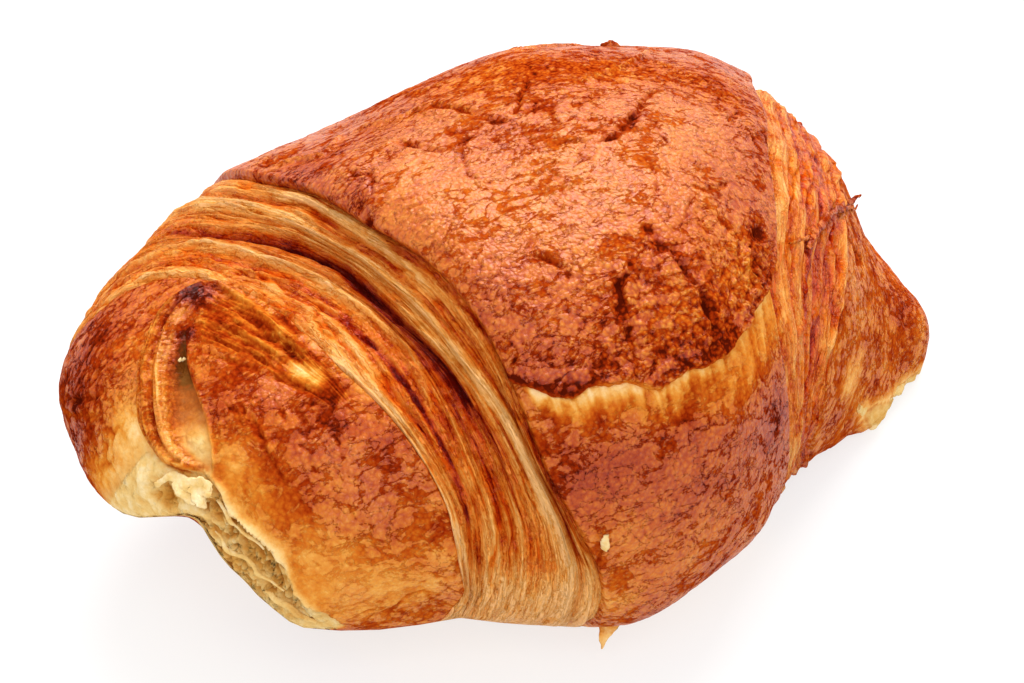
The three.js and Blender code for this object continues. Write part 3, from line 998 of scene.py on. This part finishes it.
# Creases drawn on the top of the last wrap: photo pixels, width and depth in millimetres, browning.
# The ridges between them have photo pixels, width and height, and are paler: a painted highlight.
PANEL_CREASES = [
    ([(396, 122), (425, 113), (455, 112), (480, 121), (505, 130), (528, 137)], .72, .84, .16),
    ([(516, 124), (520, 106), (527, 90), (530, 80)], .36, .72, .16),
    ([(532, 136), (535, 118), (536, 102)], .28, .6, .16),
    ([(388, 142), (405, 146), (425, 152), (443, 156), (456, 152), (466, 144), (480, 137)], .56, .72, .192),
    ([(456, 153), (464, 166), (470, 178), (484, 188), (500, 192)], .32, .6, .16),
    ([(520, 158), (550, 153), (578, 148), (604, 145), (622, 134), (636, 116), (650, 100), (668, 93)],
     .48, .84, .16),
    ([(604, 144), (628, 130), (640, 112)], .72, .6, .16),
    ([(625, 142), (633, 130), (640, 127)], .24, .96, .4),
    ([(548, 126), (572, 112), (590, 104), (612, 98)], .64, .48, .128),
    ([(646, 116), (655, 132), (664, 147), (678, 160), (690, 168), (702, 178)], .32, .72, .192),
    ([(640, 160), (650, 178), (655, 198), (664, 214), (672, 226)], .32, .48, .16),
    ([(686, 190), (700, 195), (714, 192), (732, 184)], .4, .48, .032),
    ([(690, 200), (685, 212), (684, 224)], .32, .6, .16),
    ([(536, 234), (530, 250), (536, 260), (552, 266), (566, 278), (576, 288)], .48, .72, .16),
    ([(556, 160), (554, 176), (562, 194), (561, 214)], .36, .48, .08),
    ([(610, 274), (618, 292), (620, 312), (626, 330), (624, 352)], .64, .84, .224),
    ([(668, 246), (674, 264), (690, 284), (702, 302), (708, 328), (712, 350)], .64, .96, .256),
    ([(630, 262), (626, 280), (604, 302)], .48, .6, .192),
    ([(345, 181), (356, 173), (368, 163), (384, 150), (398, 142)], .4, .48, .128),
    ([(396, 210), (420, 203), (446, 197)], .28, .42, .096),
    ([(404, 217), (424, 212), (440, 205)], .28, .42, .096),
    ([(362, 205), (372, 222), (384, 236), (398, 250), (416, 259), (430, 258)], .8, .72, .224),
    ([(640, 238), (648, 236), (656, 246), (662, 262)], .96, .48, .224),
    ([(768, 120), (772, 170), (776, 220), (776, 258)], .64, .36, .192),
    ([(700, 296), (706, 320), (716, 338)], .96, .6, .16),
    ([(664, 355), (652, 370), (650, 384)], .72, .6, .224),
    ([(508, 340), (518, 352), (514, 366)], .24, .48, .16),
    ([(470, 372), (520, 384), (560, 394), (590, 386)], .8, .36, .192),
    ([(740, 226), (752, 236), (762, 232)], 1.2, .72, .256),
]
PANEL_RIDGES = [
    ([(572, 90), (600, 80), (622, 73), (640, 61), (656, 53)], 0.4, 0.6),
    ([(640, 61), (660, 70), (690, 84), (720, 100), (750, 112)], 0.4, 0.5),
    ([(262, 166), (290, 153), (318, 147), (334, 134), (346, 128)], 0.5, 0.6),
    ([(346, 126), (376, 121), (402, 118), (432, 108)], 0.4, 0.5),
    ([(400, 100), (430, 92), (458, 84)], 0.4, 0.4),
    ([(746, 246), (741, 266), (752, 286), (748, 300)], 0.5, 0.7),
    ([(708, 330), (714, 348), (722, 364)], 0.4, 0.7),
    ([(500, 62), (530, 58), (560, 54), (590, 46)], 0.4, 0.5),
]
# Where the panel's egg wash is broken up, or paler and glossier with a painted sheen: photo pixel, radius
# in millimetres, browning, gloss, crackle.
PANEL_PATCHES = [
    ((740, 280), 7, -.04, -.3, .8), ((718, 320), 5, -.04, -.3, .7), ((752, 240), 5, .0, -.2, .4),
    ((640, 300), 8, .0, -.15, .4), ((660, 345), 8, .01, -.15, .5), ((560, 330), 12, .02, -.1, .2),
    ((480, 330), 8, .04, 0, .1), ((640, 245), 4, .06, -.4, .4), ((400, 95), 8, .03, -.6, .4),
    ((480, 85), 10, -.02, -.6, .4), ((560, 75), 10, .0, -.5, .4), ((640, 75), 9, .0, -.4, .3),
    ((720, 95), 9, .03, -.5, .4), ((340, 145), 8, 0, -.3, .3), ((450, 130), 6, -.06, .2, 0),
    ((600, 190), 14, -.08, .2, 0), ((690, 130), 9, -.06, .2, 0), ((400, 185), 9, -.08, .15, 0),
    ((500, 230), 10, -.05, .15, 0), ((350, 205), 5, .12, 0, .2), ((300, 165), 6, .08, 0, 0),
    ((760, 170), 6, .06, -.2, .2), ((560, 380), 6, .06, 0, .1), ((700, 360), 5, .08, -.1, .3),
]


BACK_END = 285.0  # the angle under the roll where the last wrap ends
MM_ABOVE_TEAR = 0.7  # to one degree round the roll


def last_wrap_grid():
    """Places and angles from the torn edge round to the underside, and the angle of the torn edge."""
    columns = spaced([0, 0.01, 0.36, 1], [6, 250, 160])
    rows = spaced([0, 0.01, 0.99, 1], [6, 196, 8])
    share = rows[:, None] * np.ones(len(columns))
    angle = np.full(share.shape, 60.0)
    # each row keeps its share of the way between the shoulder and the seam as the torn edge wanders
    for _ in range(12):
        start, end = EDGE["shoulder"](angle), EDGE["seam"](angle)
        place = start + share * (end - start)
        torn = np.interp(place, *np.array(TORN_EDGE).T)
        for spread, size in ((40, 0.8), (150, 0.4)):
            torn = torn + size * noise(plane(place * spread), 80 + spread)
        angle = torn + columns * (BACK_END - torn)
    return place, angle, torn


def sheet_piece(name, patch, material):
    """A closed piece from a patch that is open on all sides: its edges run in to the middle of the roll."""
    points = patch.points()
    height, width = points.shape[:2]
    inner = station(patch.places[:, width // 2])[:, :3]
    number = np.arange(height * width).reshape(height, width)
    core = height * width + np.arange(height)
    front, back = number[:, 0], number[:, -1]
    near, far = number[0], number[-1]
    faces = [
        grid_faces(height, width, False),
        np.stack([front[:-1], core[:-1], core[1:], front[1:]], -1),
        np.stack([back[:-1], back[1:], core[1:], core[:-1]], -1),
        np.stack([near[1:], near[:-1], np.full(width - 1, core[0])], -1),
        np.stack([far[:-1], far[1:], np.full(width - 1, core[-1])], -1),
    ]
    every = np.vstack([points.reshape(-1, 3), inner])
    make_mesh(name, every, faces, patch.attributes(range(height)), material)


def last_wrap():
    """The last sheet of dough, from its torn front edge over the top and down the back."""
    place, angle, torn = last_wrap_grid()
    patch = Patch(place, angle)
    p = patch.base
    wrinkled_skin(patch, 300)
    patch.height += common_relief(patch) + 1.3
    patch.bake += 0.06 + 0.1 * fractal(p / 10, 3, 91)
    draw(patch, valley, PANEL_CREASES)
    draw(patch, ridge, PANEL_RIDGES)
    for pixel, radius, brown, gloss, crackle in PANEL_PATCHES:
        tint(patch, pixel, radius, brown, gloss)
        patch.cracked += crackle * spot(p, pixel, radius)
    # small scales where the wash is broken up
    scaly = np.clip(patch.cracked, 0, 1)
    first, second = cells(p / 1.8, 95)
    apart = second - first
    patch.height += scaly * (0.24 * smooth_step(0, 0.35, apart) - 0.2 + 0.2 * fractal(p / 1.3, 2, 96))
    patch.bake += scaly * 0.12 * (0.4 - smooth_step(0, 0.3, apart))
    # the torn edge, thick and rounded with a pale hem
    from_tear = (angle - torn) * MM_ABOVE_TEAR
    hem = bell(from_tear, 0.7)
    patch.height += 0.25 * bell(from_tear, 2.0) + lip(from_tear, 2.6, 0.7)
    patch.height += lip(patch.gap("shoulder"), 3.4, 1.2) + lip(-patch.gap("seam"), 3.4, 1.4)
    patch.bake += 0.1 * bell(from_tear, 3.0) - 0.4 * hem
    patch.gloss -= 0.6 * hem
    sheet_piece("last_wrap", patch, skin())


# Heights and browning across the cut layers of the far band, from the seam (0) to the horn's edge (1).
FAR_STOPS = [0, .06, .14, .22, .3, .38, .46, .54, .62, .7, .78, .86, .93, 1.0]
FAR_HEIGHT = [-1.2, -.3, .3, .1, .3, -.2, .3, -.6, .1, -.3, .3, -.4, .4, .2]
FAR_BAKE = [.6, .2, .16, .28, .2, .46, .28, .6, .34, .48, .3, .52, .26, .46]


def far_band():
    """The band of cut layers between the last wrap and the far horn."""
    angles = np.arange(0, 360, TUBE_STEP)
    start, end = EDGE["seam"](angles), EDGE["horn"](angles)
    steps = spaced([-0.18, 0, 0.92, 1], [5, 110, 10])
    patch = Patch(start + steps[:, None] * (end - start), angles)
    p = patch.base
    level = np.broadcast_to(steps[:, None], patch.places.shape)
    wander = 0.05 * noise(patch.flow(level, 2, 3.0), 111) + 0.02 * noise(patch.flow(level, 6, 7.0), 112)
    bent = np.clip(level + wander * smooth_step(0, .1, level), 0, 1)
    patch.height = common_relief(patch) + np.interp(bent, FAR_STOPS, FAR_HEIGHT)
    patch.height += tuck(-patch.gap("seam"), 2.5) + lip(-patch.gap("horn"), 3.0, 1.3)
    patch.bake = 0.22 + 0.72 * np.interp(bent, FAR_STOPS, FAR_BAKE)
    patch.bake += 0.22 * fractal(p / 5, 2, 121) + 0.1 * fractal(p / 1.8, 2, 123)
    wide_line = add_layers(patch, level, (5.0, 13.0, 18.0, 50.0), (0.6, 0.2, 0.16, 0.07),
                           (0.1, 0.04, 0.14, 0.07), 0.1, 111, 151)
    draw(patch, sheet_line, FAR_LINES)
    patch.gloss = 0.55 + 0.25 * smooth_step(0.35, 0.75, patch.bake) - 0.5 * wide_line
    patch.streaks = np.concatenate([level[..., None] * 17, patch.turn * 2.2], -1)
    tube_piece("far_band", patch, layers())


# Single sheets of the far band, as for the near one.
FAR_LINES = [
    ([(788, 118), (800, 150), (803, 180), (800, 212)], .6, -.5, .35),
    ([(818, 226), (812, 242), (808, 270), (808, 292), (805, 320), (800, 342)], .7, .6, .3),
    ([(844, 215), (845, 240), (846, 270), (843, 292)], .7, .4, -.25),
    ([(848, 292), (840, 322), (825, 370), (815, 402)], .5, .4, -.2),
    ([(830, 290), (822, 330), (812, 372), (800, 420), (796, 452)], .5, -.4, .3),
    ([(792, 226), (796, 262), (794, 300), (800, 350), (800, 400)], .45, -.4, .28),
    ([(784, 330), (792, 362), (797, 402), (793, 446)], .4, -.3, .25),
    ([(816, 150), (822, 180), (824, 212)], .5, -.4, .3),
    ([(776, 104), (786, 132), (790, 170), (788, 220), (786, 262)], .4, -.3, .2),
    ([(838, 180), (838, 206), (832, 246), (828, 282)], .45, -.4, .3),
    ([(842, 306), (840, 318), (836, 330)], 1.2, -.2, .25),
    ([(764, 306), (776, 316), (790, 326)], 1.8, .2, -.15),
]
HORN_CRUMB = [(856, 440), (862, 412), (874, 401), (892, 391), (908, 377), (925, 362), (942, 380),
              (930, 440), (860, 450)]
# Spots on the far horn: pixel, radius in millimetres, browning, gloss; paler, glossier ones carry a painted
# sheen
HORN_TINTS = [
    ((862, 300), 5, -.1, .2), ((852, 390), 5.0, -.24, 0), ((842, 412), 2.5, .25, 0), ((900, 310), 6, .08, 0),
    ((918, 330), 3, -.05, .3),
]


def far_horn():
    """The small end at the far right, with torn crumb under its tip."""
    angles = np.arange(0, 360, COARSE_STEP)
    edge = EDGE["horn"](angles)
    rings = np.linspace(0.94, 0.06, 6)
    steps = np.concatenate([spaced([-0.14, 0, 1], [5, 110]), np.ones(len(rings))])
    shrink = np.ones(len(steps))
    shrink[-len(rings):] = rings
    patch = Patch(edge + steps[:, None] * (0.996 - edge), angles, shrink)
    p = patch.base
    wrinkled_skin(patch, 400)
    patch.height += common_relief(patch) + tuck(-patch.gap("horn"), 2.5)
    torn = outline_depth(p, patch.normals, HORN_CRUMB)
    crumb = smooth_step(-2, 4, torn)
    patch.height += crumb * 0.9 * fractal(p / 2.2, 2, 135)
    patch.pale = crumb
    patch.bake = toward(patch.bake, 0.3 + 0.3 * fractal(p / 1.6, 2, 133), crumb)
    patch.gloss *= 0.4
    patch.bake += 0.24 * fractal(p / 4, 3, 131) + 0.1 * fractal(p / 1.6, 2, 134)
    patch.bake -= 0.28 * smooth_step(9, 0, -torn) * (torn < 0)
    draw(patch, tint, HORN_TINTS)
    tube_piece("far_horn", patch, skin())


# Flakes, strands and crumbs that stand off the crust, and one pale speck, a painted highlight: photo pixels
# along each, its widths in millimetres at even steps along it, its thickness, how far it stands off towards
# the photo, its browning, and 1 for bare crumb.
LOOSE_BITS = [
    ([(808, 248), (818, 228), (834, 211), (848, 202), (861, 195)], [.7, 1.2, 1.1, .8, .3], .4, .6, .66, 0),
    ([(838, 212), (848, 208), (857, 207)], [.6, .7, .2], .4, .5, .64, 0),
    ([(810, 236), (800, 240), (788, 244)], [.6, .7, .3], .4, .2, .56, 0),
    ([(612, 594), (611, 608), (608, 622), (604, 636), (602, 648)], [.6, 3.2, 2.9, 1.6, .3], .5, .6, .2, 0),
    ([(600, 46), (609, 45), (617, 44), (626, 47)], [.4, .9, .7, .3], .4, 0, .55, 0),
    # a pale speck in the shape of a crumb that stands for a white glint: a painted highlight
    ([(605, 534), (606, 541), (604, 548)], [.7, 1.1, .7], .4, .8, 0, 1),
    ([(177, 361), (180, 360)], [.5, .6], .4, -.4, 0, 1),
    ([(182, 362), (185, 360)], [.4, .6], .4, -.4, 0, 1),
    ([(158, 481), (172, 477), (188, 482), (202, 486), (212, 487)], [.5, 1.0, 2.2, 2.4, .8], .4, 1.7, 0, 1),
    ([(176, 482), (184, 490), (192, 499), (196, 503)], [.8, 1.9, 1.5, .4], .4, 1.9, 0, 1),
    ([(192, 484), (199, 494), (204, 503), (206, 507)], [1.0, 2.4, 1.5, .4], .4, 1.8, 0, 1),
    ([(204, 486), (210, 492), (214, 497)], [1.0, 1.5, .4], .4, 1.6, 0, 1),
    ([(218, 500), (229, 518), (247, 534), (262, 548)], [.3, .6, .5, .3], .3, .0, .1, 1),
    ([(216, 530), (228, 548), (248, 560), (262, 577), (282, 588)], [.3, .5, .4, .6, .2], .3, .0, .2, 1),
    ([(262, 590), (280, 603), (298, 614), (316, 622)], [.5, .9, 1.0, .4], .4, .1, .2, 1),
    ([(858, 408), (868, 414), (880, 410), (892, 400)], [1.2, 2.4, 2.2, .8], 1.2, .4, .2, 1),
    ([(866, 420), (872, 424), (880, 420)], [.8, 1.6, .6], .9, .3, .1, 1),
    ([(884, 396), (896, 390), (906, 382)], [1.2, 1.6, .5], .8, .4, .15, 1),
]


BIT_CORNERS = 10
BIT_GLOSS = 0.6


def bit_line(pixels, stand_off):
    """The middle line of a loose bit, from the photo's pixels and how far it stands off the crust."""
    return bend_through([unproject(np.array(pixel, float)) for pixel in pixels], 7) + BACK * stand_off


def bit_points(line, widths, thickness, number):
    """Rings of points round a line, ragged in width and surface, and then the line's two ends."""
    turn = np.arange(BIT_CORNERS) * TAU / BIT_CORNERS
    steps = np.linspace(0, 1, len(line))
    width = np.interp(steps, np.linspace(0, 1, len(widths)), widths)
    width = width * (1 + 0.35 * noise(plane(steps * 9, steps * 0 + number), 170))
    along = unit(np.gradient(line, axis=0))
    across = unit(np.cross(along, BACK))
    out = np.cross(across, along)
    depth = thickness * np.minimum(1, 4 * np.minimum(steps, 1 - steps) + 0.35)
    ring = (across[:, None] * (np.cos(turn)[:, None] * (width / 2)[:, None, None])
            + out[:, None] * (np.sin(turn)[:, None] * (depth / 2)[:, None, None]))
    points = (line[:, None] + ring).reshape(-1, 3)
    points = points + 0.1 * noise_vectors(points / 0.7, 171)
    points = points + 0.5 * noise_vectors(points / 2.2, 181)
    points = np.vstack([points, line[0], line[-1]])
    points[:, 2] = np.maximum(points[:, 2], 0.1)
    return points


def loose_bits():
    """All the loose flakes, strands and crumbs, and a pale speck that is a painted highlight, as one piece.
    """
    every, faces, named = [], [], {key: [] for key in ("bake", "pale", "gloss", "cracked", "flow")}
    count = 0
    for number, (pixels, widths, thickness, stand_off, bake, pale) in enumerate(LOOSE_BITS):
        line = bit_line(pixels, stand_off)
        points = bit_points(line, widths, thickness, number)
        rows = len(line)
        first = count + np.arange(BIT_CORNERS)
        middle = count + rows * BIT_CORNERS
        faces.append(grid_faces(rows, BIT_CORNERS, True) + count)
        faces.append(fan(first, middle, True))
        faces.append(fan(first + (rows - 1) * BIT_CORNERS, middle + 1, False))
        every.append(points)
        whole = np.ones(len(points))
        named["bake"].append(np.clip(bake + 0.25 * noise(points / 1.5, 175), 0, 1))
        named["pale"].append(pale * whole)
        named["gloss"].append(BIT_GLOSS * whole)
        named["cracked"].append(0 * whole)
        named["flow"].append(points)
        count += len(points)
    made = {key: np.concatenate(values) for key, values in named.items()}
    make_mesh("loose_bits", np.vstack(every), faces, made, skin())


# ---------------------------------------------------------------- materials

# How bright plain white stands in the scene's light: surface colours are read off a screen, then divided
# by it.
EXPOSURE = 1.1


def node(tree, kind, **settings):
    """A new node with some of its properties set."""
    made = tree.nodes.new(kind)
    for key, value in settings.items():
        setattr(made, key, value)
    return made


def colour(red, green, blue):
    """Linear colour from one that is read off a screen, 0 to 255."""
    def linear(v):
        v /= 255
        return (v / 12.92 if v <= 0.04045 else ((v + 0.055) / 1.055) ** 2.4) / EXPOSURE
    return (linear(red), linear(green), linear(blue), 1.0)


# Colours read off a screen, from pale to dark at the same places, of the taut skin and the cut layers.
CRUST_PLACES = (0.0, 0.13, 0.27, 0.41, 0.56, 0.7, 0.85, 1.0)
SKIN_COLOURS = [(250, 212, 150), (241, 188, 108), (230, 156, 63), (217, 129, 39),
                (201, 101, 24), (178, 71, 14), (145, 39, 5), (84, 18, 4)]
LAYER_COLOURS = [(252, 190, 120), (245, 173, 90), (238, 150, 60), (230, 123, 35),
                 (216, 92, 17), (196, 61, 8), (158, 31, 3), (112, 13, 2)]
# The bare crumb's, from dark to pale.
CRUMB_PLACES = (0.0, 0.35, 0.65, 1.0)
CRUMB_COLOURS = [(190, 124, 44), (217, 160, 78), (233, 194, 122), (248, 228, 182)]


class Recipe:
    """Short ways to add nodes to one material. Lengths are millimetres, as places are scaled up first."""

    def __init__(self, name):
        self.material = bpy.data.materials.new(name)
        self.material.use_nodes = True
        self.tree = self.material.node_tree
        self.shader = self.tree.nodes["Principled BSDF"]
        place = node(self.tree, "ShaderNodeTexCoord")
        scaled = node(self.tree, "ShaderNodeVectorMath", operation="SCALE")
        self.join(place.outputs["Object"], scaled.inputs[0])
        scaled.inputs["Scale"].default_value = 1 / MM
        self.place = scaled.outputs[0]

    def join(self, source, socket):
        """Links an output to a socket, or sets the socket where the source is a number."""
        if isinstance(source, (int, float)):
            socket.default_value = source
        else:
            self.tree.links.new(source, socket)

    def attribute(self, name, output="Fac"):
        return node(self.tree, "ShaderNodeAttribute", attribute_name=name).outputs[output]

    def noise(self, size, detail, roughness, bend, place):
        """A noise node with features of one size."""
        made = node(self.tree, "ShaderNodeTexNoise")
        for name, value in (("Scale", 1 / size), ("Detail", detail), ("Roughness", roughness),
                            ("Distortion", bend)):
            made.inputs[name].default_value = value
        self.join(place, made.inputs["Vector"])
        return made

    def grain(self, size, detail, roughness=0.55, bend=0.0, place=None):
        """Noise with features of one size, 0 to 1."""
        return self.noise(size, detail, roughness, bend, place or self.place).outputs["Fac"]

    def shake(self, size, reach, start=None):
        """The place, or other coordinates, moved about by noise with features of one size."""
        moved = node(self.tree, "ShaderNodeVectorMath", operation="MULTIPLY_ADD")
        self.join(self.noise(size, 3, 0.5, 0.0, self.place).outputs["Color"], moved.inputs[0])
        moved.inputs[1].default_value = (reach, reach, reach)
        self.join(start or self.place, moved.inputs[2])
        return moved.outputs[0]

    def pebbles(self, size, place):
        """Distance to the nearest of some scattered points."""
        made = node(self.tree, "ShaderNodeTexVoronoi", feature="F1")
        made.inputs["Scale"].default_value = 1 / size
        self.join(place, made.inputs["Vector"])
        return made.outputs["Distance"]

    def calc(self, operation, a, b=0.0, c=0.0):
        """One step of arithmetic on numbers and outputs."""
        made = node(self.tree, "ShaderNodeMath", operation=operation)
        for socket, value in zip(made.inputs, (a, b, c)):
            self.join(value, socket)
        return made.outputs[0]

    def times(self, a, b):
        return self.calc("MULTIPLY", a, b)

    def less(self, a, b):
        return self.calc("SUBTRACT", a, b)

    def plus(self, start, value, amount):
        """A start, and a value times an amount."""
        return self.calc("MULTIPLY_ADD", value, amount, start)

    def vary(self, start, value, amount):
        """A start that goes up and down with a value of 0 to 1, by half the amount each way."""
        return self.plus(start, self.less(value, 0.5), amount)

    def off_middle(self, value):
        """How far a value is from 0.5."""
        return self.calc("ABSOLUTE", self.less(value, 0.5))

    def fade(self, value, low, high, start=0.0, end=1.0):
        """A smooth change from start to end as the value goes from low to high."""
        made = node(self.tree, "ShaderNodeMapRange", interpolation_type="SMOOTHSTEP")
        for name, number in (("Value", value), ("From Min", low), ("From Max", high),
                             ("To Min", start), ("To Max", end)):
            self.join(number, made.inputs[name])
        return made.outputs[0]

    def ramp(self, value, places, colours):
        """A colour that runs through some colours as the value goes through their places."""
        made = node(self.tree, "ShaderNodeValToRGB")
        elements = made.color_ramp.elements
        while len(elements) < len(places):
            elements.new(0.5)
        for element, place, shade in zip(elements, places, colours):
            element.position = place
            element.color = colour(*shade)
        self.join(value, made.inputs["Fac"])
        return made.outputs["Color"]


def wash_cracks(make, gloss, cracked, browned):
    """Thin cracks in the egg wash, in clusters, and more of them where it lies thin: 1 on a crack."""
    long_way = node(make.tree, "ShaderNodeVectorMath", operation="MULTIPLY")
    make.join(make.place, long_way.inputs[0])
    long_way.inputs[1].default_value = (0.62, 1.0, 1.0)
    off_line = make.off_middle(make.grain(2.6, 6, 0.66, 0.35, long_way.outputs[0]))
    bare = make.less(1.0, gloss)
    clusters = make.fade(make.grain(6.5, 3, 0.6), 0.44, 0.64)
    width = make.plus(0.004, make.calc("MAXIMUM", clusters, cracked), 0.05)
    width = make.plus(width, make.times(bare, bare), 0.1)
    crack = make.fade(make.calc("DIVIDE", off_line, width), 0.5, 1.25, 1.0, 0.0)
    return make.times(crack, browned)


def cut_fibres(make, tone, height, crack):
    """Tone and height of cut layers: streaks, coarser bands and single fibres along the flow."""
    flow = make.shake(1.1, 0.5, make.attribute("flow", "Vector"))
    streak = make.fade(make.grain(0.22, 3, 0.6, 0.0, flow), 0.4, 0.6)
    coarse = make.grain(0.9, 3, 0.55, 0.0, flow)
    fibre = make.fade(make.off_middle(make.grain(0.8, 4, 0.6, 0.0, flow)), 0.0, 0.035, 1.0, 0.0)
    tone = make.vary(tone, streak, 0.1)
    tone = make.vary(tone, coarse, 0.3)
    for source, amount in ((fibre, 0.17), (crack, 0.06)):
        tone = make.plus(tone, source, amount)
    for source, amount in ((streak, -0.12), (coarse, -0.25), (fibre, -0.12)):
        height = make.plus(height, source, amount)
    return tone, height


def blistered_skin(make, tone, height, crack, cracked, browned):
    """Tone and height of the taut skin: blotches and fine blisters, rougher where it is cracked."""
    pebble = make.pebbles(0.66, make.shake(1.3, 1.0))
    tone = make.vary(tone, make.grain(3.6, 4, 0.6), 0.3)
    # the blisters are paler and tanner on top, a painted sheen, and darker where they meet
    rough = make.plus(0.22, cracked, 0.28)
    tone = make.plus(tone, make.times(make.less(pebble, 0.5), browned), rough)
    return make.plus(tone, crack, 0.16), make.plus(height, pebble, -0.18)


def crust_material(name, streaked):
    """Egg-washed crust. A streaked one shows cut layers; the other is the taut skin of a wrap."""
    if name in bpy.data.materials:
        return bpy.data.materials[name]
    make = Recipe(name)
    bake, pale, gloss, cracked = (make.attribute(key) for key in ("bake", "pale", "gloss", "cracked"))
    covered = make.less(1.0, pale)
    browned = make.times(make.fade(bake, 0.2, 0.5), covered)
    crack = wash_cracks(make, gloss, cracked, browned)
    speckle = make.grain(0.7, 4, 0.65)
    tone = make.vary(bake, speckle, 0.34)
    height = make.plus(make.times(speckle, 0.2 if streaked else 0.13), crack, -0.1)
    if streaked:
        tone, height = cut_fibres(make, tone, height, crack)
    else:
        tone, height = blistered_skin(make, tone, height, crack, cracked, browned)

    softness = make.plus(make.plus(0.32, make.grain(1.6, 4, 0.6), 0.9), bake, -0.75)
    mix = node(make.tree, "ShaderNodeMix", data_type="RGBA")
    make.join(pale, mix.inputs["Factor"])
    crust_colours = LAYER_COLOURS if streaked else SKIN_COLOURS
    make.join(make.ramp(tone, CRUST_PLACES, crust_colours), mix.inputs["A"])
    make.join(make.ramp(softness, CRUMB_PLACES, CRUMB_COLOURS), mix.inputs["B"])
    bump = node(make.tree, "ShaderNodeBump")
    bump.inputs["Distance"].default_value = MM
    bump.inputs["Strength"].default_value = 1.0
    make.join(height, bump.inputs["Height"])

    # the egg wash is a clear coat, which is missing in the cracks and on the bare crumb
    shine = make.times(make.less(1.0, crack), covered)
    shader = make.shader
    shader.inputs["Specular IOR Level"].default_value = 0.0
    shader.inputs["Coat Roughness"].default_value = 0.22
    shader.inputs["Coat IOR"].default_value = 1.46
    make.join(mix.outputs["Result"], shader.inputs["Base Color"])
    make.join(make.plus(0.45, speckle, 0.25), shader.inputs["Roughness"])
    make.join(make.times(shine, make.plus(0.04, gloss, 0.7)), shader.inputs["Coat Weight"])
    make.join(bump.outputs["Normal"], shader.inputs["Normal"])
    make.join(bump.outputs["Normal"], shader.inputs["Coat Normal"])
    return make.material


def skin():
    """The taut skin of the wraps, lobes and horn."""
    return crust_material("glazed_skin", False)


def layers():
    """The cut layers of the two bands."""
    return crust_material("cut_layers", True)


# ---------------------------------------------------------------- floor, light and camera

FLOOR_SIZE = 6
FLOOR_DROP = 0.0003
FLOOR_GREY = 0.25
FLOOR_GLOW = 0.73
# Each soft light's place and its width and height in metres, and its power in watts.
SOFT_LIGHTS = {
    "softbox": ((0.88, 1.16, 2.26), (2.0, 2.0), 91.0),
    "front": ((-0.6, -1.38, 1.48), (1.6, 1.0), 15.0),
}
LIGHT_AIM = (0, 0, 0.03)
SURROUNDINGS = 0.92


def plain_floor():
    """A pale floor that glows a little, so that it stays white and yet takes a soft shadow."""
    bpy.ops.mesh.primitive_plane_add(size=FLOOR_SIZE, location=(0, 0, -FLOOR_DROP))
    floor = bpy.context.object
    floor.name = "floor"
    material = bpy.data.materials.new("floor_white")
    material.use_nodes = True
    shader = material.node_tree.nodes["Principled BSDF"]
    shader.inputs["Base Color"].default_value = (FLOOR_GREY, FLOOR_GREY, FLOOR_GREY, 1)
    shader.inputs["Roughness"].default_value = 0.9
    shader.inputs["Specular IOR Level"].default_value = 0.0
    shader.inputs["Emission Color"].default_value = (1, 1, 1, 1)
    shader.inputs["Emission Strength"].default_value = FLOOR_GLOW
    floor.data.materials.append(material)


def soft_light(name, place, size, power):
    """A rectangular light that faces the croissant."""
    data = bpy.data.lights.new(name, "AREA")
    data.shape = "RECTANGLE"
    data.size, data.size_y = size
    data.energy = power
    lamp = bpy.data.objects.new(name, data)
    lamp.location = place
    from_to = np.array(LIGHT_AIM) - np.array(place)
    yaw = math.atan2(from_to[0], from_to[1])
    fall = math.atan2(math.hypot(from_to[0], from_to[1]), -from_to[2])
    lamp.rotation_euler = (fall, 0, -yaw)
    bpy.context.scene.collection.objects.link(lamp)


def lights():
    """The soft lights, and the even white surroundings."""
    for name, (place, size, power) in SOFT_LIGHTS.items():
        soft_light(name, place, size, power)
    world = bpy.data.worlds.new("studio")
    world.use_nodes = True
    background = world.node_tree.nodes["Background"]
    background.inputs["Color"].default_value = (1, 1, 1, 1)
    background.inputs["Strength"].default_value = SURROUNDINGS
    bpy.context.scene.world = world


def camera():
    """The photo's camera."""
    data = bpy.data.cameras.new("camera")
    data.lens = LENS
    data.sensor_width = SENSOR
    data.clip_start = 0.01
    made = bpy.data.objects.new("camera", data)
    made.location = CAMERA_PLACE * MM
    made.rotation_euler = (math.radians(90 - CAMERA_RISE), 0, math.radians(CAMERA_TURN))
    bpy.context.scene.collection.objects.link(made)
    bpy.context.scene.camera = made


lobes()
near_band()
middle()
last_wrap()
far_band()
far_horn()
loose_bits()
plain_floor()
lights()
camera()
bpy.context.scene.view_settings.view_transform = "Standard"
